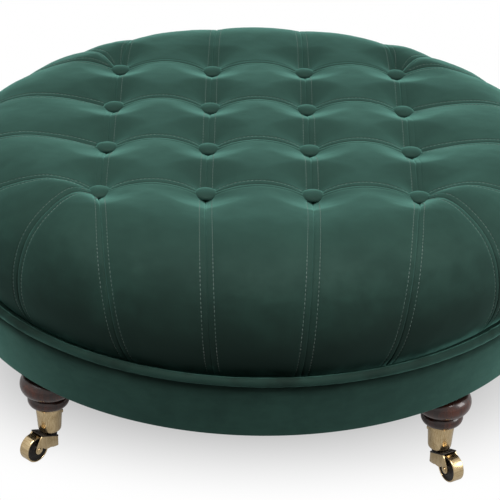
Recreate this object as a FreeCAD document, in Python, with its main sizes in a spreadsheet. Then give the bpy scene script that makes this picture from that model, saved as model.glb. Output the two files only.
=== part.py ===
import FreeCAD, Part
import math
import operator
import os

import Sketcher

# Round, deep-buttoned footstool on four turned legs with cup castors.
# Millimetres, +Z up. The origin is the middle of the footprint, on the floor.

os.makedirs("parts", exist_ok=True)
doc = FreeCAD.newDocument("Tuffet")

# Driving sizes: alias, value, what it measures.
DRIVING_SIZES = (
    ("wheel_radius", 19.0, "castor wheel, rolling radius"),
    ("wheel_width", 16.4, "castor wheel, tread width"),
    ("wheel_offset", 29.3, "axle behind the swivel pin"),
    ("wheel_side_gap", 0.6, "wheel to the inside of a fork arm"),
    ("axle_radius", 2.5, "castor axle"),
    ("axle_end", 1.4, "how far the riveted axle stands out of an arm"),
    ("arm_thickness", 2.2, "fork arm"),
    ("arm_eye_radius", 6.0, "round lower end of a fork arm"),
    ("arm_back_height", 17.0, "back edge of a fork arm"),
    ("arm_heel", 8.5, "lower edge of a fork arm, from the pin towards the wheel"),
    ("web_thickness", 2.0, "sloping web that joins the fork arms"),
    ("web_slope", 0.42, "rise of the web for each millimetre towards the wheel"),
    ("web_back", 5.0, "web and arms, from the pin away from the wheel"),
    ("nose_setback", 9.3, "end of the web, from the axle back to the pin"),
    ("nose_lift", 0.4, "end of the web above the top of the wheel"),
    ("horn_radius", 9.6, "swivel horn between the web and the cup"),
    ("horn_height", 6.0, "swivel horn above the web, at the pin"),
    ("pin_radius", 4.0, "swivel pin"),
    ("pin_length_in_cup", 9.0, "swivel pin above the cup's underside"),
    ("swivel_gap", 0.4, "horn to the underside of the cup"),
    ("running_gap", 0.05, "radial clearance of a turning pin in its bore"),
    ("press_gap", 0.03, "radial clearance of a pin that doesn't turn"),
    ("cup_foot_radius", 12.0, "flat underside of the cup"),
    ("cup_base_radius", 16.0, "cup above its rounded lower corner"),
    ("cup_corner_height", 8.0, "height of the rounded lower corner"),
    ("cup_rim_radius", 18.8, "cup at its rim"),
    ("cup_height", 39.0, "cup"),
    ("cup_floor", 12.0, "solid bottom of the cup"),
    ("cup_wall", 2.0, "wall of the cup"),
    ("cloth_gap", 0.3, "clearance round soft pieces and turned wood"),
    ("small_ring_radius", 28.4, "lower turned ring"),
    ("small_ring_height", 15.0, "lower turned ring"),
    ("small_ring_neck", 21.5, "necks beside the lower ring"),
    ("ankle_height", 2.0, "leg between the cup and the lower ring"),
    ("ring_step", 1.0, "short slope between the two rings"),
    ("big_ring_radius", 40.0, "upper turned ring"),
    ("big_ring_height", 32.0, "upper turned ring"),
    ("big_ring_neck", 26.0, "necks beside the upper ring"),
    ("cove_height", 12.0, "hollow between the upper ring and the base"),
    ("cove_top_radius", 33.0, "leg where it meets the base"),
    ("leg_inset", 27.5, "centre of a leg, in from the inside of the hoop"),
    ("bolt_radius", 5.0, "hanger bolt that holds a leg"),
    ("bolt_in_leg", 42.0, "hanger bolt inside the leg"),
    ("bolt_in_block", 48.0, "hanger bolt inside the block"),
    ("base_radius", 427.0, "band, outside at its lower edge"),
    ("base_flare", 6.0, "how much wider the band is at its top"),
    ("base_height", 78.0, "band"),
    ("band_cloth", 2.5, "padded velvet of the band"),
    ("hoop_thickness", 9.0, "bent plywood hoop"),
    ("dust_cloth", 0.8, "cambric under the base"),
    ("deck_thickness", 18.0, "plywood deck"),
    ("block_width", 64.0, "leg block across the leg's radius"),
    ("block_inward", 38.0, "leg block, from the leg towards the middle"),
    ("block_to_hoop", 2.6, "outer face of a leg block to the hoop"),
    ("rail_width", 22.0, "cross rail"),
    ("rail_depth", 44.0, "cross rail"),
    ("piping_radius", 6.0, "cord inside the piping, with its velvet"),
    ("piping_tape", 1.5, "flat tape that holds the piping"),
    ("piping_tape_width", 30.0, "tape, from the cord inwards"),
    ("cushion_height", 176.1, "highest point of the cushion above the base"),
    ("button_drop", 17.0, "middle of the button faces below the highest point"),
    ("button_pitch", 140.0, "button to button, both ways"),
    ("button_radius", 15.5, "covered button"),
    ("button_thickness", 8.0, "covered button"),
    ("button_rim", 2.0, "straight rim of a covered button"),
    ("pillow_cap", 40.0, "nearly flat middle of a pillow"),
    ("pillow_seam_rise", 20.0, "a crease, half way between two buttons, above their seats"),
    ("cushion_overhang", 5.0, "cushion at its widest, beyond the top of the band"),
    ("widest_height", 73.1, "widest part of the cushion above the base"),
    ("foot_inset", 18.0, "cushion where it is drawn in, from the top of the band"),
    ("shoulder_inset", 86.0, "crest of the shoulder, in from the widest part"),
    ("edge_inset", 24.0, "turn of the shoulder, in from the widest part"),
    ("side_fullness", 7.0, "how far the side's control points stand out"),
    ("inner_seam_foot", 7.5, "seam foot on the piping, degrees from an axis"),
    ("outer_seam_foot", 23.0, "seam foot on the piping, degrees from an axis"),
    ("shoulder_seam_depth", 4.0, "seams sunk into the shoulder"),
    ("side_seam_depth", 4.0, "seams sunk into the side"),
    ("cover_thickness", 44.0, "velvet and wadding over the foam"),
    ("foam_bevel", 40.0, "bevelled top edge of the foam"),
    ("twine_radius", 1.1, "waxed button twine"),
    ("twine_hole", 2.2, "needle hole for the twine"),
    ("toggle_length", 22.0, "wooden toggle that anchors a twine"),
    ("toggle_width", 7.0, "wooden toggle"),
)

BUTTONS_PER_SIDE = 4
DIAGONAL = 45
BASE_SIDES = 72
LEG_SIDES = 20
BUTTON_SIDES = 14
BORE_SIDES = 12
ARC_STEPS = 6
SIDE_STRIPS = 7
PILLOW_STRIPS = 2
LEG_ANGLES = (-136.3, -49.7, 43.7, 130.3)
LEG_NAMES = ("front_left", "front_right", "back_right", "back_left")
TRAIL_ANGLES = (-132.5, -60.5, 68, 130)

sheet = doc.addObject("Spreadsheet::Sheet", "Sizes")


class Size:
    """A length that knows its value and the sheet expression that gives it."""

    def __init__(self, value, text):
        self.value = value
        self.text = text

    def joined(self, other, sign, action, other_first=False):
        if not isinstance(other, Size):
            other = Size(float(other), str(float(other)))
        left, right = (other, self) if other_first else (self, other)
        return Size(action(left.value, right.value), f"({left.text} {sign} {right.text})")

    def __add__(self, other):
        return self.joined(other, "+", operator.add)

    def __radd__(self, other):
        return self.joined(other, "+", operator.add, True)

    def __sub__(self, other):
        return self.joined(other, "-", operator.sub)

    def __rsub__(self, other):
        return self.joined(other, "-", operator.sub, True)

    def __mul__(self, other):
        return self.joined(other, "*", operator.mul)

    def __rmul__(self, other):
        return self.joined(other, "*", operator.mul, True)

    def __truediv__(self, other):
        return self.joined(other, "/", operator.truediv)

    def __neg__(self):
        return self.joined(-1, "*", operator.mul)


def fill_sheet():
    """Write the driving sizes into the sheet and return them by name."""
    named = {}
    for row, (alias, value, meaning) in enumerate(DRIVING_SIZES, start=1):
        sheet.set(f"A{row}", meaning)
        sheet.set(f"B{row}", str(value))
        sheet.setAlias(f"B{row}", alias)
        named[alias] = Size(value, f"Sizes.{alias}")
    doc.recompute()
    return named


class Named:
    """The driving sizes as attributes."""


S = Named()
for size_name, driving_size in fill_sheet().items():
    setattr(S, size_name, driving_size)

# Levels above the floor, from the castors up.
NOSE = S.wheel_offset - S.nose_setback
WEB_LEVEL = 2 * S.wheel_radius + S.nose_lift - S.web_slope * NOSE
HORN_TOP = WEB_LEVEL + S.horn_height
CUP_BOTTOM = HORN_TOP + S.swivel_gap
CUP_TOP = CUP_BOTTOM + S.cup_height
LEG_FOOT = CUP_BOTTOM + S.cup_floor
SMALL_RING_BOTTOM = CUP_TOP + S.ankle_height
BIG_RING_BOTTOM = SMALL_RING_BOTTOM + S.small_ring_height
COVE_BOTTOM = BIG_RING_BOTTOM + S.ring_step + S.big_ring_height
LEG_TOP = COVE_BOTTOM + S.cove_height
BASE_BOTTOM = LEG_TOP - S.dust_cloth - S.cloth_gap
HOOP_BOTTOM = LEG_TOP
BASE_TOP = BASE_BOTTOM + S.base_height
DECK_BOTTOM = BASE_TOP - S.deck_thickness
CUSHION_BOTTOM = BASE_TOP + S.piping_tape + S.cloth_gap
CROWN_LEVEL = BASE_TOP + S.cushion_height
BUTTON_LEVEL = CROWN_LEVEL - S.button_drop
BUTTON_SEAT = BUTTON_LEVEL - S.button_thickness
WIDEST_LEVEL = BASE_TOP + S.widest_height

# Radii from the stool's axis, and the widths of a fork.
HOOP_RADIUS = S.base_radius - S.band_cloth
HOOP_INSIDE = HOOP_RADIUS - S.hoop_thickness
LEG_CIRCLE = HOOP_INSIDE - S.leg_inset
TOP_RADIUS = S.base_radius + S.base_flare
CUSHION_RADIUS = TOP_RADIUS + S.cushion_overhang
FOOT_RADIUS = TOP_RADIUS - S.foot_inset
FORK_GAP = S.wheel_width + 2 * S.wheel_side_gap
FORK_WIDTH = FORK_GAP + 2 * S.arm_thickness


def number(size):
    """The value of a Size or of a plain number."""
    return size.value if isinstance(size, Size) else float(size)


def bind(thing, prop, size):
    """Tie a property to a sheet expression."""
    thing.setExpression(prop, size.text if isinstance(size, Size) else str(size))


def new_body(label):
    """An empty body, which may hold several solids."""
    body = doc.addObject("PartDesign::Body", label)
    body.Label = label
    return body


def origin_feature(body, role):
    """One of the body's own planes or axes."""
    return next(item for item in body.Origin.OriginFeatures if item.Role == role)


def new_sketch(body, name, role):
    """An empty sketch on one of the body's own planes."""
    sketch = body.newObject("Sketcher::SketchObject", name)
    sketch.AttachmentSupport = [(origin_feature(body, role), "")]
    sketch.MapMode = "FlatFace"
    return sketch


def pin_point(sketch, geometry, vertex, x, y, tag):
    """Hold a point at its distances from the two sketch axes."""
    for kind, size, axis in (("DistanceX", x, -2), ("DistanceY", y, -1)):
        if not isinstance(size, Size) and size == 0:
            sketch.addConstraint(Sketcher.Constraint("PointOnObject", geometry, vertex, axis))
            continue
        rule = Sketcher.Constraint(kind, -1, 1, geometry, vertex, number(size))
        name = f"{kind}_{tag}"
        sketch.renameConstraint(sketch.addConstraint(rule), name)
        bind(sketch, f"Constraints.{name}", size)


def arc_between(start, end, radius, side):
    """An arc that bulges to the left (1) or right (-1) of the way from start to end."""
    half = start.distanceToPoint(end) / 2
    sagitta = radius - math.sqrt(max(radius ** 2 - half ** 2, 0))
    along = (end - start).normalize()
    crest = (start + end) / 2 + FreeCAD.Vector(-along.y, along.x, 0) * sagitta * side
    if side < 0:
        return Part.Arc(start, crest, end), (1, 2)
    return Part.Arc(end, crest, start), (2, 1)


def outline(body, name, role, corners, arcs=None):
    """A closed outline. arcs gives the radius and side of the arcs that leave some corners."""
    arcs = arcs or {}
    sketch = new_sketch(body, name, role)
    points = [FreeCAD.Vector(number(x), number(y), 0) for x, y in corners]
    pieces = []
    for index, start in enumerate(points):
        end = points[(index + 1) % len(points)]
        if index in arcs:
            radius, side = arcs[index]
            curve, ends = arc_between(start, end, number(radius), side)
        else:
            curve, ends = Part.LineSegment(start, end), (1, 2)
        pieces.append((sketch.addGeometry(curve), ends))
    for index, (geometry, ends) in enumerate(pieces):
        following, following_ends = pieces[(index + 1) % len(pieces)]
        joint = Sketcher.Constraint("Coincident", geometry, ends[1], following, following_ends[0])
        sketch.addConstraint(joint)
        pin_point(sketch, geometry, ends[0], corners[index][0], corners[index][1], index)
        if index in arcs:
            radius = arcs[index][0]
            rule = sketch.addConstraint(Sketcher.Constraint("Radius", geometry, number(radius)))
            sketch.renameConstraint(rule, f"Radius_{index}")
            bind(sketch, f"Constraints.Radius_{index}", radius)
    return sketch


def circle(body, name, role, x, y, radius):
    """A sketch of one circle."""
    sketch = new_sketch(body, name, role)
    centre = FreeCAD.Vector(number(x), number(y), 0)
    geometry = sketch.addGeometry(Part.Circle(centre, FreeCAD.Vector(0, 0, 1), number(radius)))
    pin_point(sketch, geometry, 3, x, y, "centre")
    sketch.renameConstraint(
        sketch.addConstraint(Sketcher.Constraint("Radius", geometry, number(radius))), "Radius")
    bind(sketch, "Constraints.Radius", radius)
    return sketch


def revolve(body, sketch, name):
    """Turn an outline about the sketch's upright axis."""
    feature = body.newObject("PartDesign::Revolution", name)
    feature.Profile = sketch
    feature.ReferenceAxis = (sketch, ["V_Axis"])
    feature.Angle = 360
    sketch.Visibility = False
    return feature


def turned(label, corners, arcs=None, role="XZ_Plane"):
    """A body turned about its upright axis from half of its section."""
    body = new_body(label)
    revolve(body, outline(body, f"{label}_section", role, corners, arcs), f"{label}_turning")
    return body


def pad(body, sketch, name, length):
    """Extrude an outline equally to both sides of its plane."""
    feature = body.newObject("PartDesign::Pad", name)
    feature.Profile = sketch
    feature.SideType = "Symmetric"
    feature.Length = number(length)
    bind(feature, "Length", length)
    return feature


def pocket(body, sketch, name, length=None):
    """Cut an outline both ways, right through or for this length in all."""
    feature = body.newObject("PartDesign::Pocket", name)
    feature.Profile = sketch
    feature.SideType = "Symmetric"
    if length is None:
        feature.Type = "ThroughAll"
        return feature
    feature.Length = number(length)
    bind(feature, "Length", length)
    return feature


def drum(label, stations, sides):
    """A many-sided drum ruled between stations, given as (radius, height) from the bottom up."""
    rings = []
    for index, (radius, height) in enumerate(stations):
        ring = doc.addObject("Part::RegularPolygon", f"{label}_ring_{index}")
        ring.Polygon = sides
        bind(ring, "Circumradius", radius)
        place(ring, z=height)
        rings.append(ring)
    loft = doc.addObject("Part::Loft", label)
    loft.Label = label
    loft.Sections = rings
    loft.Solid = True
    loft.Ruled = True
    return loft


def prism(label, sides, radius, height):
    """An upright bar with this many sides."""
    bar = doc.addObject("Part::Prism", label)
    bar.Polygon = sides
    bind(bar, "Circumradius", radius)
    bind(bar, "Height", height)
    return bar


def cut_away(label, blank, tool):
    """A blank with a tool cut out of it."""
    cut = doc.addObject("Part::Cut", label)
    cut.Label = label
    cut.Base = blank
    cut.Tool = tool
    return cut


def half_round(neck, crest, bottom, height, steps):
    """Stations of a ring that swells from its necks to its crest."""
    stations = []
    for index in range(steps + 1):
        turn = math.pi * (index / steps - 0.5)
        radius = neck + (crest - neck) * round(math.cos(turn), 9)
        stations.append((radius, bottom + height * round(0.5 + 0.5 * math.sin(turn), 9)))
    return stations


def place(thing, x=0, y=0, z=0, angle=0):
    """Turn a piece about the upright axis and tie where it stands."""
    turn = FreeCAD.Rotation(FreeCAD.Vector(0, 0, 1), angle)
    thing.Placement = FreeCAD.Placement(FreeCAD.Vector(number(x), number(y), number(z)), turn)
    for axis, size in (("x", x), ("y", y), ("z", z)):
        if isinstance(size, Size):
            bind(thing, f"Placement.Base.{axis}", size)


def copies(label, master, places):
    """One node that holds a copy of the master at each place (x, y, z, angle)."""
    links = []
    for index, (x, y, z, angle) in enumerate(places, start=1):
        link = doc.addObject("App::Link", f"{label}_{index}")
        link.LinkedObject = master
        place(link, x, y, z, angle)
        links.append(link)
    group = doc.addObject("Part::Compound", label)
    group.Label = label
    group.Links = links
    return group


def on_circle(radius, angle):
    """Point on a circle round the stool's axis."""
    return radius * math.cos(math.radians(angle)), radius * math.sin(math.radians(angle))


def leg_places():
    """The four legs, each turned to face outwards."""
    return [(*on_circle(LEG_CIRCLE, angle), 0, angle) for angle in LEG_ANGLES]


def button_offsets():
    """Grid offsets of the buttons, in pitches."""
    middle = (BUTTONS_PER_SIDE - 1) / 2
    steps = [index - middle for index in range(BUTTONS_PER_SIDE)]
    return [(across, along) for along in steps for across in steps]


def button_places():
    """The buttons of the square grid."""
    pitch = S.button_pitch
    return [(pitch * across, pitch * along, 0, 0) for across, along in button_offsets()]


# Castors: each has a fork with its horn, a swivel pin, an axle and a wheel.

def web_top(reach):
    """Level of the sloping web's upper face, this far from the pin towards the wheel."""
    return WEB_LEVEL + S.web_slope * reach


def make_fork(name):
    """Stamped fork: a sloping web over two arms, with the swivel horn on it."""
    arms = new_body(f"fork_arms_{name}")
    eye = S.arm_eye_radius
    corners = [
        (-S.web_back, web_top(-S.web_back) - S.arm_back_height),
        (-S.web_back, web_top(-S.web_back)),
        (NOSE, web_top(NOSE)),
        (S.wheel_offset + eye, S.wheel_radius),
        (S.wheel_offset, S.wheel_radius - eye),
        (S.wheel_offset - eye, S.wheel_radius),
        (S.arm_heel, web_top(-S.web_back) - 0.8 * S.arm_back_height),
    ]
    arcs = {2: (1.4 * S.wheel_radius, 1), 3: (eye, 1), 4: (eye, 1), 5: (1.2 * S.wheel_radius, -1)}
    pad(arms, outline(arms, f"fork_side_{name}", "XZ_Plane", corners, arcs), f"fork_pad_{name}", FORK_WIDTH)
    reach = 3 * S.wheel_offset
    slot = [
        (-reach, -S.wheel_radius),
        (reach, -S.wheel_radius),
        (reach, web_top(reach) - 1.08 * S.web_thickness),
        (-reach, web_top(-reach) - 1.08 * S.web_thickness),
    ]
    pocket(arms, outline(arms, f"fork_slot_{name}", "XZ_Plane", slot), f"fork_gap_{name}", FORK_GAP)
    axle_hole = circle(arms, f"fork_eye_{name}", "XZ_Plane", S.wheel_offset, S.wheel_radius,
                       S.axle_radius + S.press_gap)
    pocket(arms, axle_hole, f"fork_bore_{name}")
    horn_foot = WEB_LEVEL - S.web_thickness
    horn = drum(f"fork_horn_{name}", [(S.horn_radius, horn_foot), (S.horn_radius, HORN_TOP)], LEG_SIDES)
    blank = doc.addObject("Part::Fuse", f"fork_blank_{name}")
    blank.Base = arms
    blank.Tool = horn
    bore = prism(f"fork_pin_bore_{name}", BORE_SIDES, 1.036 * (S.pin_radius + S.press_gap), CUP_BOTTOM)
    return cut_away(f"castor_fork_{name}", blank, bore)


def make_pin(name):
    """Swivel pin, fixed in the fork and free to turn in the cup."""
    bottom = WEB_LEVEL - 1.5 * S.web_thickness
    top = CUP_BOTTOM + S.pin_length_in_cup
    corners = [(0, bottom), (S.pin_radius, bottom), (S.pin_radius, top), (0, top)]
    return turned(f"castor_pin_{name}", corners)


def make_axle(name):
    """Axle riveted through both arms."""
    end = FORK_WIDTH / 2 + S.axle_end
    corners = [(0, -end), (S.axle_radius, -end), (S.axle_radius, end), (0, end)]
    return turned(f"castor_axle_{name}", corners, role="XY_Plane")


def make_wheel(name):
    """Castor wheel that turns on the axle."""
    bore = S.axle_radius + S.running_gap
    half = S.wheel_width / 2
    corners = [(bore, -half), (S.wheel_radius, -half), (S.wheel_radius, half), (bore, half)]
    return turned(f"castor_wheel_{name}", corners, role="XY_Plane")


def make_castor(name, leg_angle, trail_angle):
    """One castor, turned so that its wheel trails the way it stands in use."""
    leg_x, leg_y = on_circle(LEG_CIRCLE, leg_angle)
    trail_x, trail_y = on_circle(S.wheel_offset, trail_angle)
    upright = [make_fork(name), make_pin(name)]
    for body in upright:
        place(body, leg_x, leg_y, 0, trail_angle)
    rolling = [make_axle(name), make_wheel(name)]
    for body in rolling:
        place(body, leg_x + trail_x, leg_y + trail_y, S.wheel_radius, trail_angle)
    return upright + rolling


# Legs and the cups at their feet.

def make_cups():
    """Brass cups: a socket for the leg over a thick floor with the pin's bore."""
    outside = drum("cup_outside", [
        (S.cup_foot_radius, CUP_BOTTOM),
        (S.cup_foot_radius + 0.7 * (S.cup_base_radius - S.cup_foot_radius), CUP_BOTTOM + 0.3 * S.cup_corner_height),
        (S.cup_base_radius, CUP_BOTTOM + S.cup_corner_height),
        (S.cup_rim_radius, CUP_TOP),
    ], LEG_SIDES)
    hollow = [(S.cup_base_radius - S.cup_wall, LEG_FOOT), (S.cup_rim_radius - S.cup_wall, CUP_TOP)]
    socket = drum("cup_socket", hollow, LEG_SIDES)
    bore = doc.addObject("Part::Cylinder", "cup_bore")
    bind(bore, "Radius", S.pin_radius + S.running_gap)
    bind(bore, "Height", S.cup_floor)
    place(bore, z=CUP_BOTTOM)
    cup = cut_away("cup_master", cut_away("cup_shell", outside, socket), bore)
    return copies("castor_cups", cup, leg_places())


def make_legs():
    """Turned legs: tapered foot in the cup, two rings and a hollow under the base."""
    foot = S.cup_base_radius - S.cup_wall - S.cloth_gap
    foot_top = S.cup_rim_radius - S.cup_wall - S.cloth_gap
    hollow = S.cove_top_radius - S.big_ring_neck
    stations = [(foot, LEG_FOOT), (foot_top, CUP_TOP)]
    stations += half_round(S.small_ring_neck, S.small_ring_radius, SMALL_RING_BOTTOM, S.small_ring_height, 4)
    stations += half_round(S.big_ring_neck, S.big_ring_radius, BIG_RING_BOTTOM + S.ring_step, S.big_ring_height, 5)
    stations += [
        (S.big_ring_neck + 0.2 * hollow, COVE_BOTTOM + 0.6 * S.cove_height),
        (S.cove_top_radius, LEG_TOP),
    ]
    bore = bolt_bar("leg_bore", S.bolt_radius + S.press_gap, S.bolt_in_leg)
    place(bore, z=LEG_TOP - S.bolt_in_leg)
    leg = cut_away("leg_master", drum("leg_turning", stations, LEG_SIDES), bore)
    return copies("turned_legs", leg, leg_places())


def bolt_bar(label, radius, length):
    """Eight-sided bar for a hanger bolt or its bore."""
    return prism(label, 8, radius, length)


def make_leg_bolts():
    """Hanger bolts from the legs up into the blocks."""
    bolt = bolt_bar("bolt_master", S.bolt_radius, S.bolt_in_leg + S.bolt_in_block)
    places = [(x, y, LEG_TOP - S.bolt_in_leg, angle) for x, y, _, angle in leg_places()]
    return copies("leg_bolts", bolt, places)


# Base frame: hoop, deck, rails and leg blocks, closed below by the dust cloth.

def flared(radius, level):
    """Radius of the flared base at a level, given its radius at the lower edge."""
    return radius + S.base_flare * (level - BASE_BOTTOM) / S.base_height


def round_wall(label, inside, outside, bottom, top):
    """A flared wall between two radii, which are those at the base's lower edge."""
    walls = []
    for name, radius in (("outside", outside), ("inside", inside)):
        stations = [(flared(radius, bottom), bottom), (flared(radius, top), top)]
        walls.append(drum(f"{label}_{name}", stations, BASE_SIDES))
    return cut_away(label, *walls)


def make_hoop():
    """Bent plywood hoop that stands under the edge of the deck."""
    return round_wall("rim_hoop", HOOP_INSIDE, HOOP_RADIUS, HOOP_BOTTOM, DECK_BOTTOM)


def make_deck():
    """Plywood deck with a needle hole under every button."""
    blank = drum("deck_blank", [
        (flared(HOOP_RADIUS, DECK_BOTTOM), DECK_BOTTOM),
        (flared(HOOP_RADIUS, BASE_TOP), BASE_TOP),
    ], BASE_SIDES)
    return with_needle_holes("deck_board", blank)


def needle_bars(label, radius, bottom, top):
    """Six-sided bars under all the buttons, for twines and their holes."""
    bar = prism(f"{label}_bar", 6, radius, top - bottom)
    places = [(x, y, bottom, angle) for x, y, _, angle in button_places()]
    return copies(label, bar, places)


def with_needle_holes(label, blank):
    """A blank with a hole under every button."""
    holes = needle_bars(f"{label}_holes", S.twine_hole, DECK_BOTTOM - S.deck_thickness, CROWN_LEVEL)
    return cut_away(label, blank, holes)


def make_rails():
    """Two rails across the base, half lapped where they cross."""
    top = DECK_BOTTOM
    bottom = top - S.rail_depth
    reach = flared(HOOP_INSIDE, bottom) - S.cloth_gap
    rails = []
    for name, lap_bottom, lap_top, angle in (
        ("rail_below", top - S.rail_depth / 2, top, 0),
        ("rail_above", bottom, top - S.rail_depth / 2, 90),
    ):
        body = new_body(name)
        plank = [(-reach, bottom), (reach, bottom), (reach, top), (-reach, top)]
        pad(body, outline(body, f"{name}_side", "XZ_Plane", plank), f"{name}_plank", S.rail_width)
        half = S.rail_width / 2
        lap = [(-half, lap_bottom), (half, lap_bottom), (half, lap_top), (-half, lap_top)]
        pocket(body, outline(body, f"{name}_lap", "XZ_Plane", lap), f"{name}_notch")
        place(body, angle=angle)
        rails.append(body)
    group = doc.addObject("Part::Compound", "cross_rails")
    group.Label = "cross_rails"
    group.Links = rails
    return group


def make_blocks():
    """Leg blocks glued inside the hoop, each bored for its hanger bolt."""
    body = new_body("block_master")
    half = S.block_width / 2
    outward = S.leg_inset - S.block_to_hoop
    plan = [(-S.block_inward, -half), (outward, -half), (outward, half), (-S.block_inward, half)]
    feature = body.newObject("PartDesign::Pad", "block_pad")
    feature.Profile = outline(body, "block_plan", "XY_Plane", plan)
    bind(feature, "Length", DECK_BOTTOM - LEG_TOP)
    bore = bolt_bar("block_bore", S.bolt_radius + S.press_gap, S.bolt_in_block)
    block = cut_away("block_bored", body, bore)
    places = [(x, y, LEG_TOP, angle) for x, y, _, angle in leg_places()]
    return copies("leg_blocks", block, places)


def make_dust_cloth():
    """Cambric under the base, cut out round the legs."""
    cloth = prism("dust_blank", BASE_SIDES, HOOP_RADIUS - S.cloth_gap, S.dust_cloth)
    place(cloth, z=BASE_BOTTOM)
    hole = prism("dust_hole", LEG_SIDES, S.cove_top_radius + S.cloth_gap, S.dust_cloth)
    holes = copies("dust_holes", hole, [(x, y, BASE_BOTTOM, angle) for x, y, _, angle in leg_places()])
    return cut_away("dust_cloth", cloth, holes)


def make_band():
    """Velvet band round the hoop and the deck's edge."""
    inside = HOOP_RADIUS + S.cloth_gap
    return round_wall("plinth_band", inside, S.base_radius, BASE_BOTTOM, BASE_TOP)


def make_piping():
    """Piping cord on its flat tape, between the band and the cushion."""
    tape_end = TOP_RADIUS - S.piping_tape_width
    tape_top = BASE_TOP + S.piping_tape
    half = S.piping_radius
    stations = [(TOP_RADIUS, BASE_TOP)]
    stations += [(TOP_RADIUS + 0.87 * half, BASE_TOP + 0.5 * half)]
    stations += [(TOP_RADIUS + 0.87 * half, BASE_TOP + 1.5 * half)]
    stations += [(TOP_RADIUS, BASE_TOP + 2 * half)]
    outside = drum("piping_outside", stations, BASE_SIDES)
    inside = drum("piping_inside", [
        (tape_end, BASE_TOP),
        (tape_end, tape_top),
        (TOP_RADIUS - half, tape_top + S.cloth_gap),
        (TOP_RADIUS - half, BASE_TOP + half),
        (TOP_RADIUS, BASE_TOP + 2 * half),
    ], BASE_SIDES)
    return cut_away("piping", outside, inside)


# Cushion: foam, wadding and the tufted velvet.

def foam_stations(gap):
    """Bevelled drum of the foam, or of the hollow this much larger round it."""
    radius = FOOT_RADIUS - S.cover_thickness + gap
    top = BUTTON_SEAT - S.cover_thickness + gap
    return [
        (radius, CUSHION_BOTTOM),
        (radius, top - S.foam_bevel),
        (radius - S.foam_bevel, top),
    ]


def make_foam():
    """Foam block with a bevelled top edge."""
    return with_needle_holes("foam_block", drum("foam_blank", foam_stations(0), BASE_SIDES))


def side_profile(start, sinks):
    """Radius and height of the control points below the first, down one line of the side.

    start is the line's place on the button grid, and sinks says how far the line is
    sunk into the shoulder and into the side.
    """
    crown = number(CROWN_LEVEL)
    widest = number(CUSHION_RADIUS)
    level = number(WIDEST_LEVEL)
    bottom = number(CUSHION_BOTTOM)
    fullness = number(S.side_fullness)
    shoulder_sink, side_sink = sinks
    drop = crown - level
    begin = math.hypot(start.x, start.y)
    shoulder = widest - number(S.shoulder_inset)
    edge = widest - number(S.edge_inset)
    lift = crown - 0.9 * shoulder_sink
    return (
        (begin + 0.34 * (shoulder - begin), 0.35 * start.z + 0.65 * lift),
        (begin + 0.67 * (shoulder - begin), lift),
        (shoulder, crown - shoulder_sink),
        (edge - 0.6 * shoulder_sink, crown - 0.24 * drop - 0.8 * shoulder_sink),
        (widest + fullness - side_sink, level + 0.2 * drop),
        (widest + 0.43 * fullness - 0.8 * side_sink, level - 0.55 * (level - bottom)),
        (number(FOOT_RADIUS), bottom),
    )


def seam_angles(start, foot_angle, profile):
    """Plan angle of a seam at each control point, from straight out to its foot."""
    if abs(foot_angle) == DIAGONAL:
        return [foot_angle] * len(profile)
    foot_side = profile[-1][0] * math.sin(math.radians(foot_angle))
    angles = []
    for index, (radius, _) in enumerate(profile, start=1):
        share = (index / len(profile)) ** 2
        side = start.x + (foot_side - start.x) * share
        angles.append(math.degrees(math.asin(side / radius)))
    return angles


def side_line(start, angles, profile):
    """Control points of a line down the front of the cushion."""
    points = [start]
    for angle, (radius, height) in zip(angles, profile):
        x, y = on_circle(radius, angle - 90)
        points.append(FreeCAD.Vector(x, y, height))
    return points


def arc_points(poles):
    """Points along the arc with these three control points."""
    left, middle, right = poles
    points = []
    for step in range(ARC_STEPS + 1):
        share = step / ARC_STEPS
        point = left * (1 - share) ** 2 + middle * (2 * share * (1 - share)) + right * share ** 2
        points.append(point)
    return points


def flat_face(points):
    """A flat face with these corners."""
    return Part.Face(Part.makePolygon(list(points) + [points[0]]))


def strip_faces(near, far):
    """Flat triangles between two arcs, each given by three control points."""
    near_points = arc_points(near)
    far_points = arc_points(far)
    faces = []
    for step in range(ARC_STEPS):
        a, b = near_points[step:step + 2]
        d, c = far_points[step:step + 2]
        faces += [flat_face(corners) for corners in ((a, b, c), (a, c, d)) if area(corners) > 1e-6]
    return faces


def area(corners):
    """Twice the area of a triangle."""
    return (corners[1] - corners[0]).cross(corners[2] - corners[0]).Length


def points_along(poles, count):
    """Evenly spaced points of the smooth curve with these control points."""
    curve = Part.BSplineCurve()
    spans = len(poles) - 3
    ends = [4] + [1] * (spans - 1) + [4]
    curve.buildFromPolesMultsKnots(poles, ends, list(range(spans + 1)), False, 3)
    return [curve.value(spans * index / count) for index in range(count + 1)]


def between(left, right, crest):
    """Middle control point that lifts the arc from left to right up to the crest."""
    return crest * 2 - (left + right) / 2


def crease_point(column, row):
    """A button's place on the cover, by its column and row."""
    middle = (BUTTONS_PER_SIDE - 1) / 2
    pitch = number(S.button_pitch)
    return FreeCAD.Vector((column - middle) * pitch, (row - middle) * pitch, number(BUTTON_SEAT))


def crease_middle(left, right):
    """Control point of the crease between two buttons."""
    rise = FreeCAD.Vector(0, 0, number(S.pillow_seam_rise))
    return (left + right) / 2 + rise * 2


def pillow_section(share):
    """Arc across a quarter of a pillow, this share of the way from its flat middle to its crease."""
    pitch = number(S.button_pitch)
    crown = number(CROWN_LEVEL)
    seat = number(BUTTON_SEAT)
    crease = seat + number(S.pillow_seam_rise)
    cap = number(S.pillow_cap)
    half = (cap + (pitch - cap) * share) / 2
    fall = share ** 1.7
    left = FreeCAD.Vector(-half, -half, crown - (crown - seat) * fall)
    right = FreeCAD.Vector(half, -half, left.z)
    crest = FreeCAD.Vector(0, -half, crown - (crown - crease) * fall)
    return [left, between(left, right, crest), right]


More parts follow.
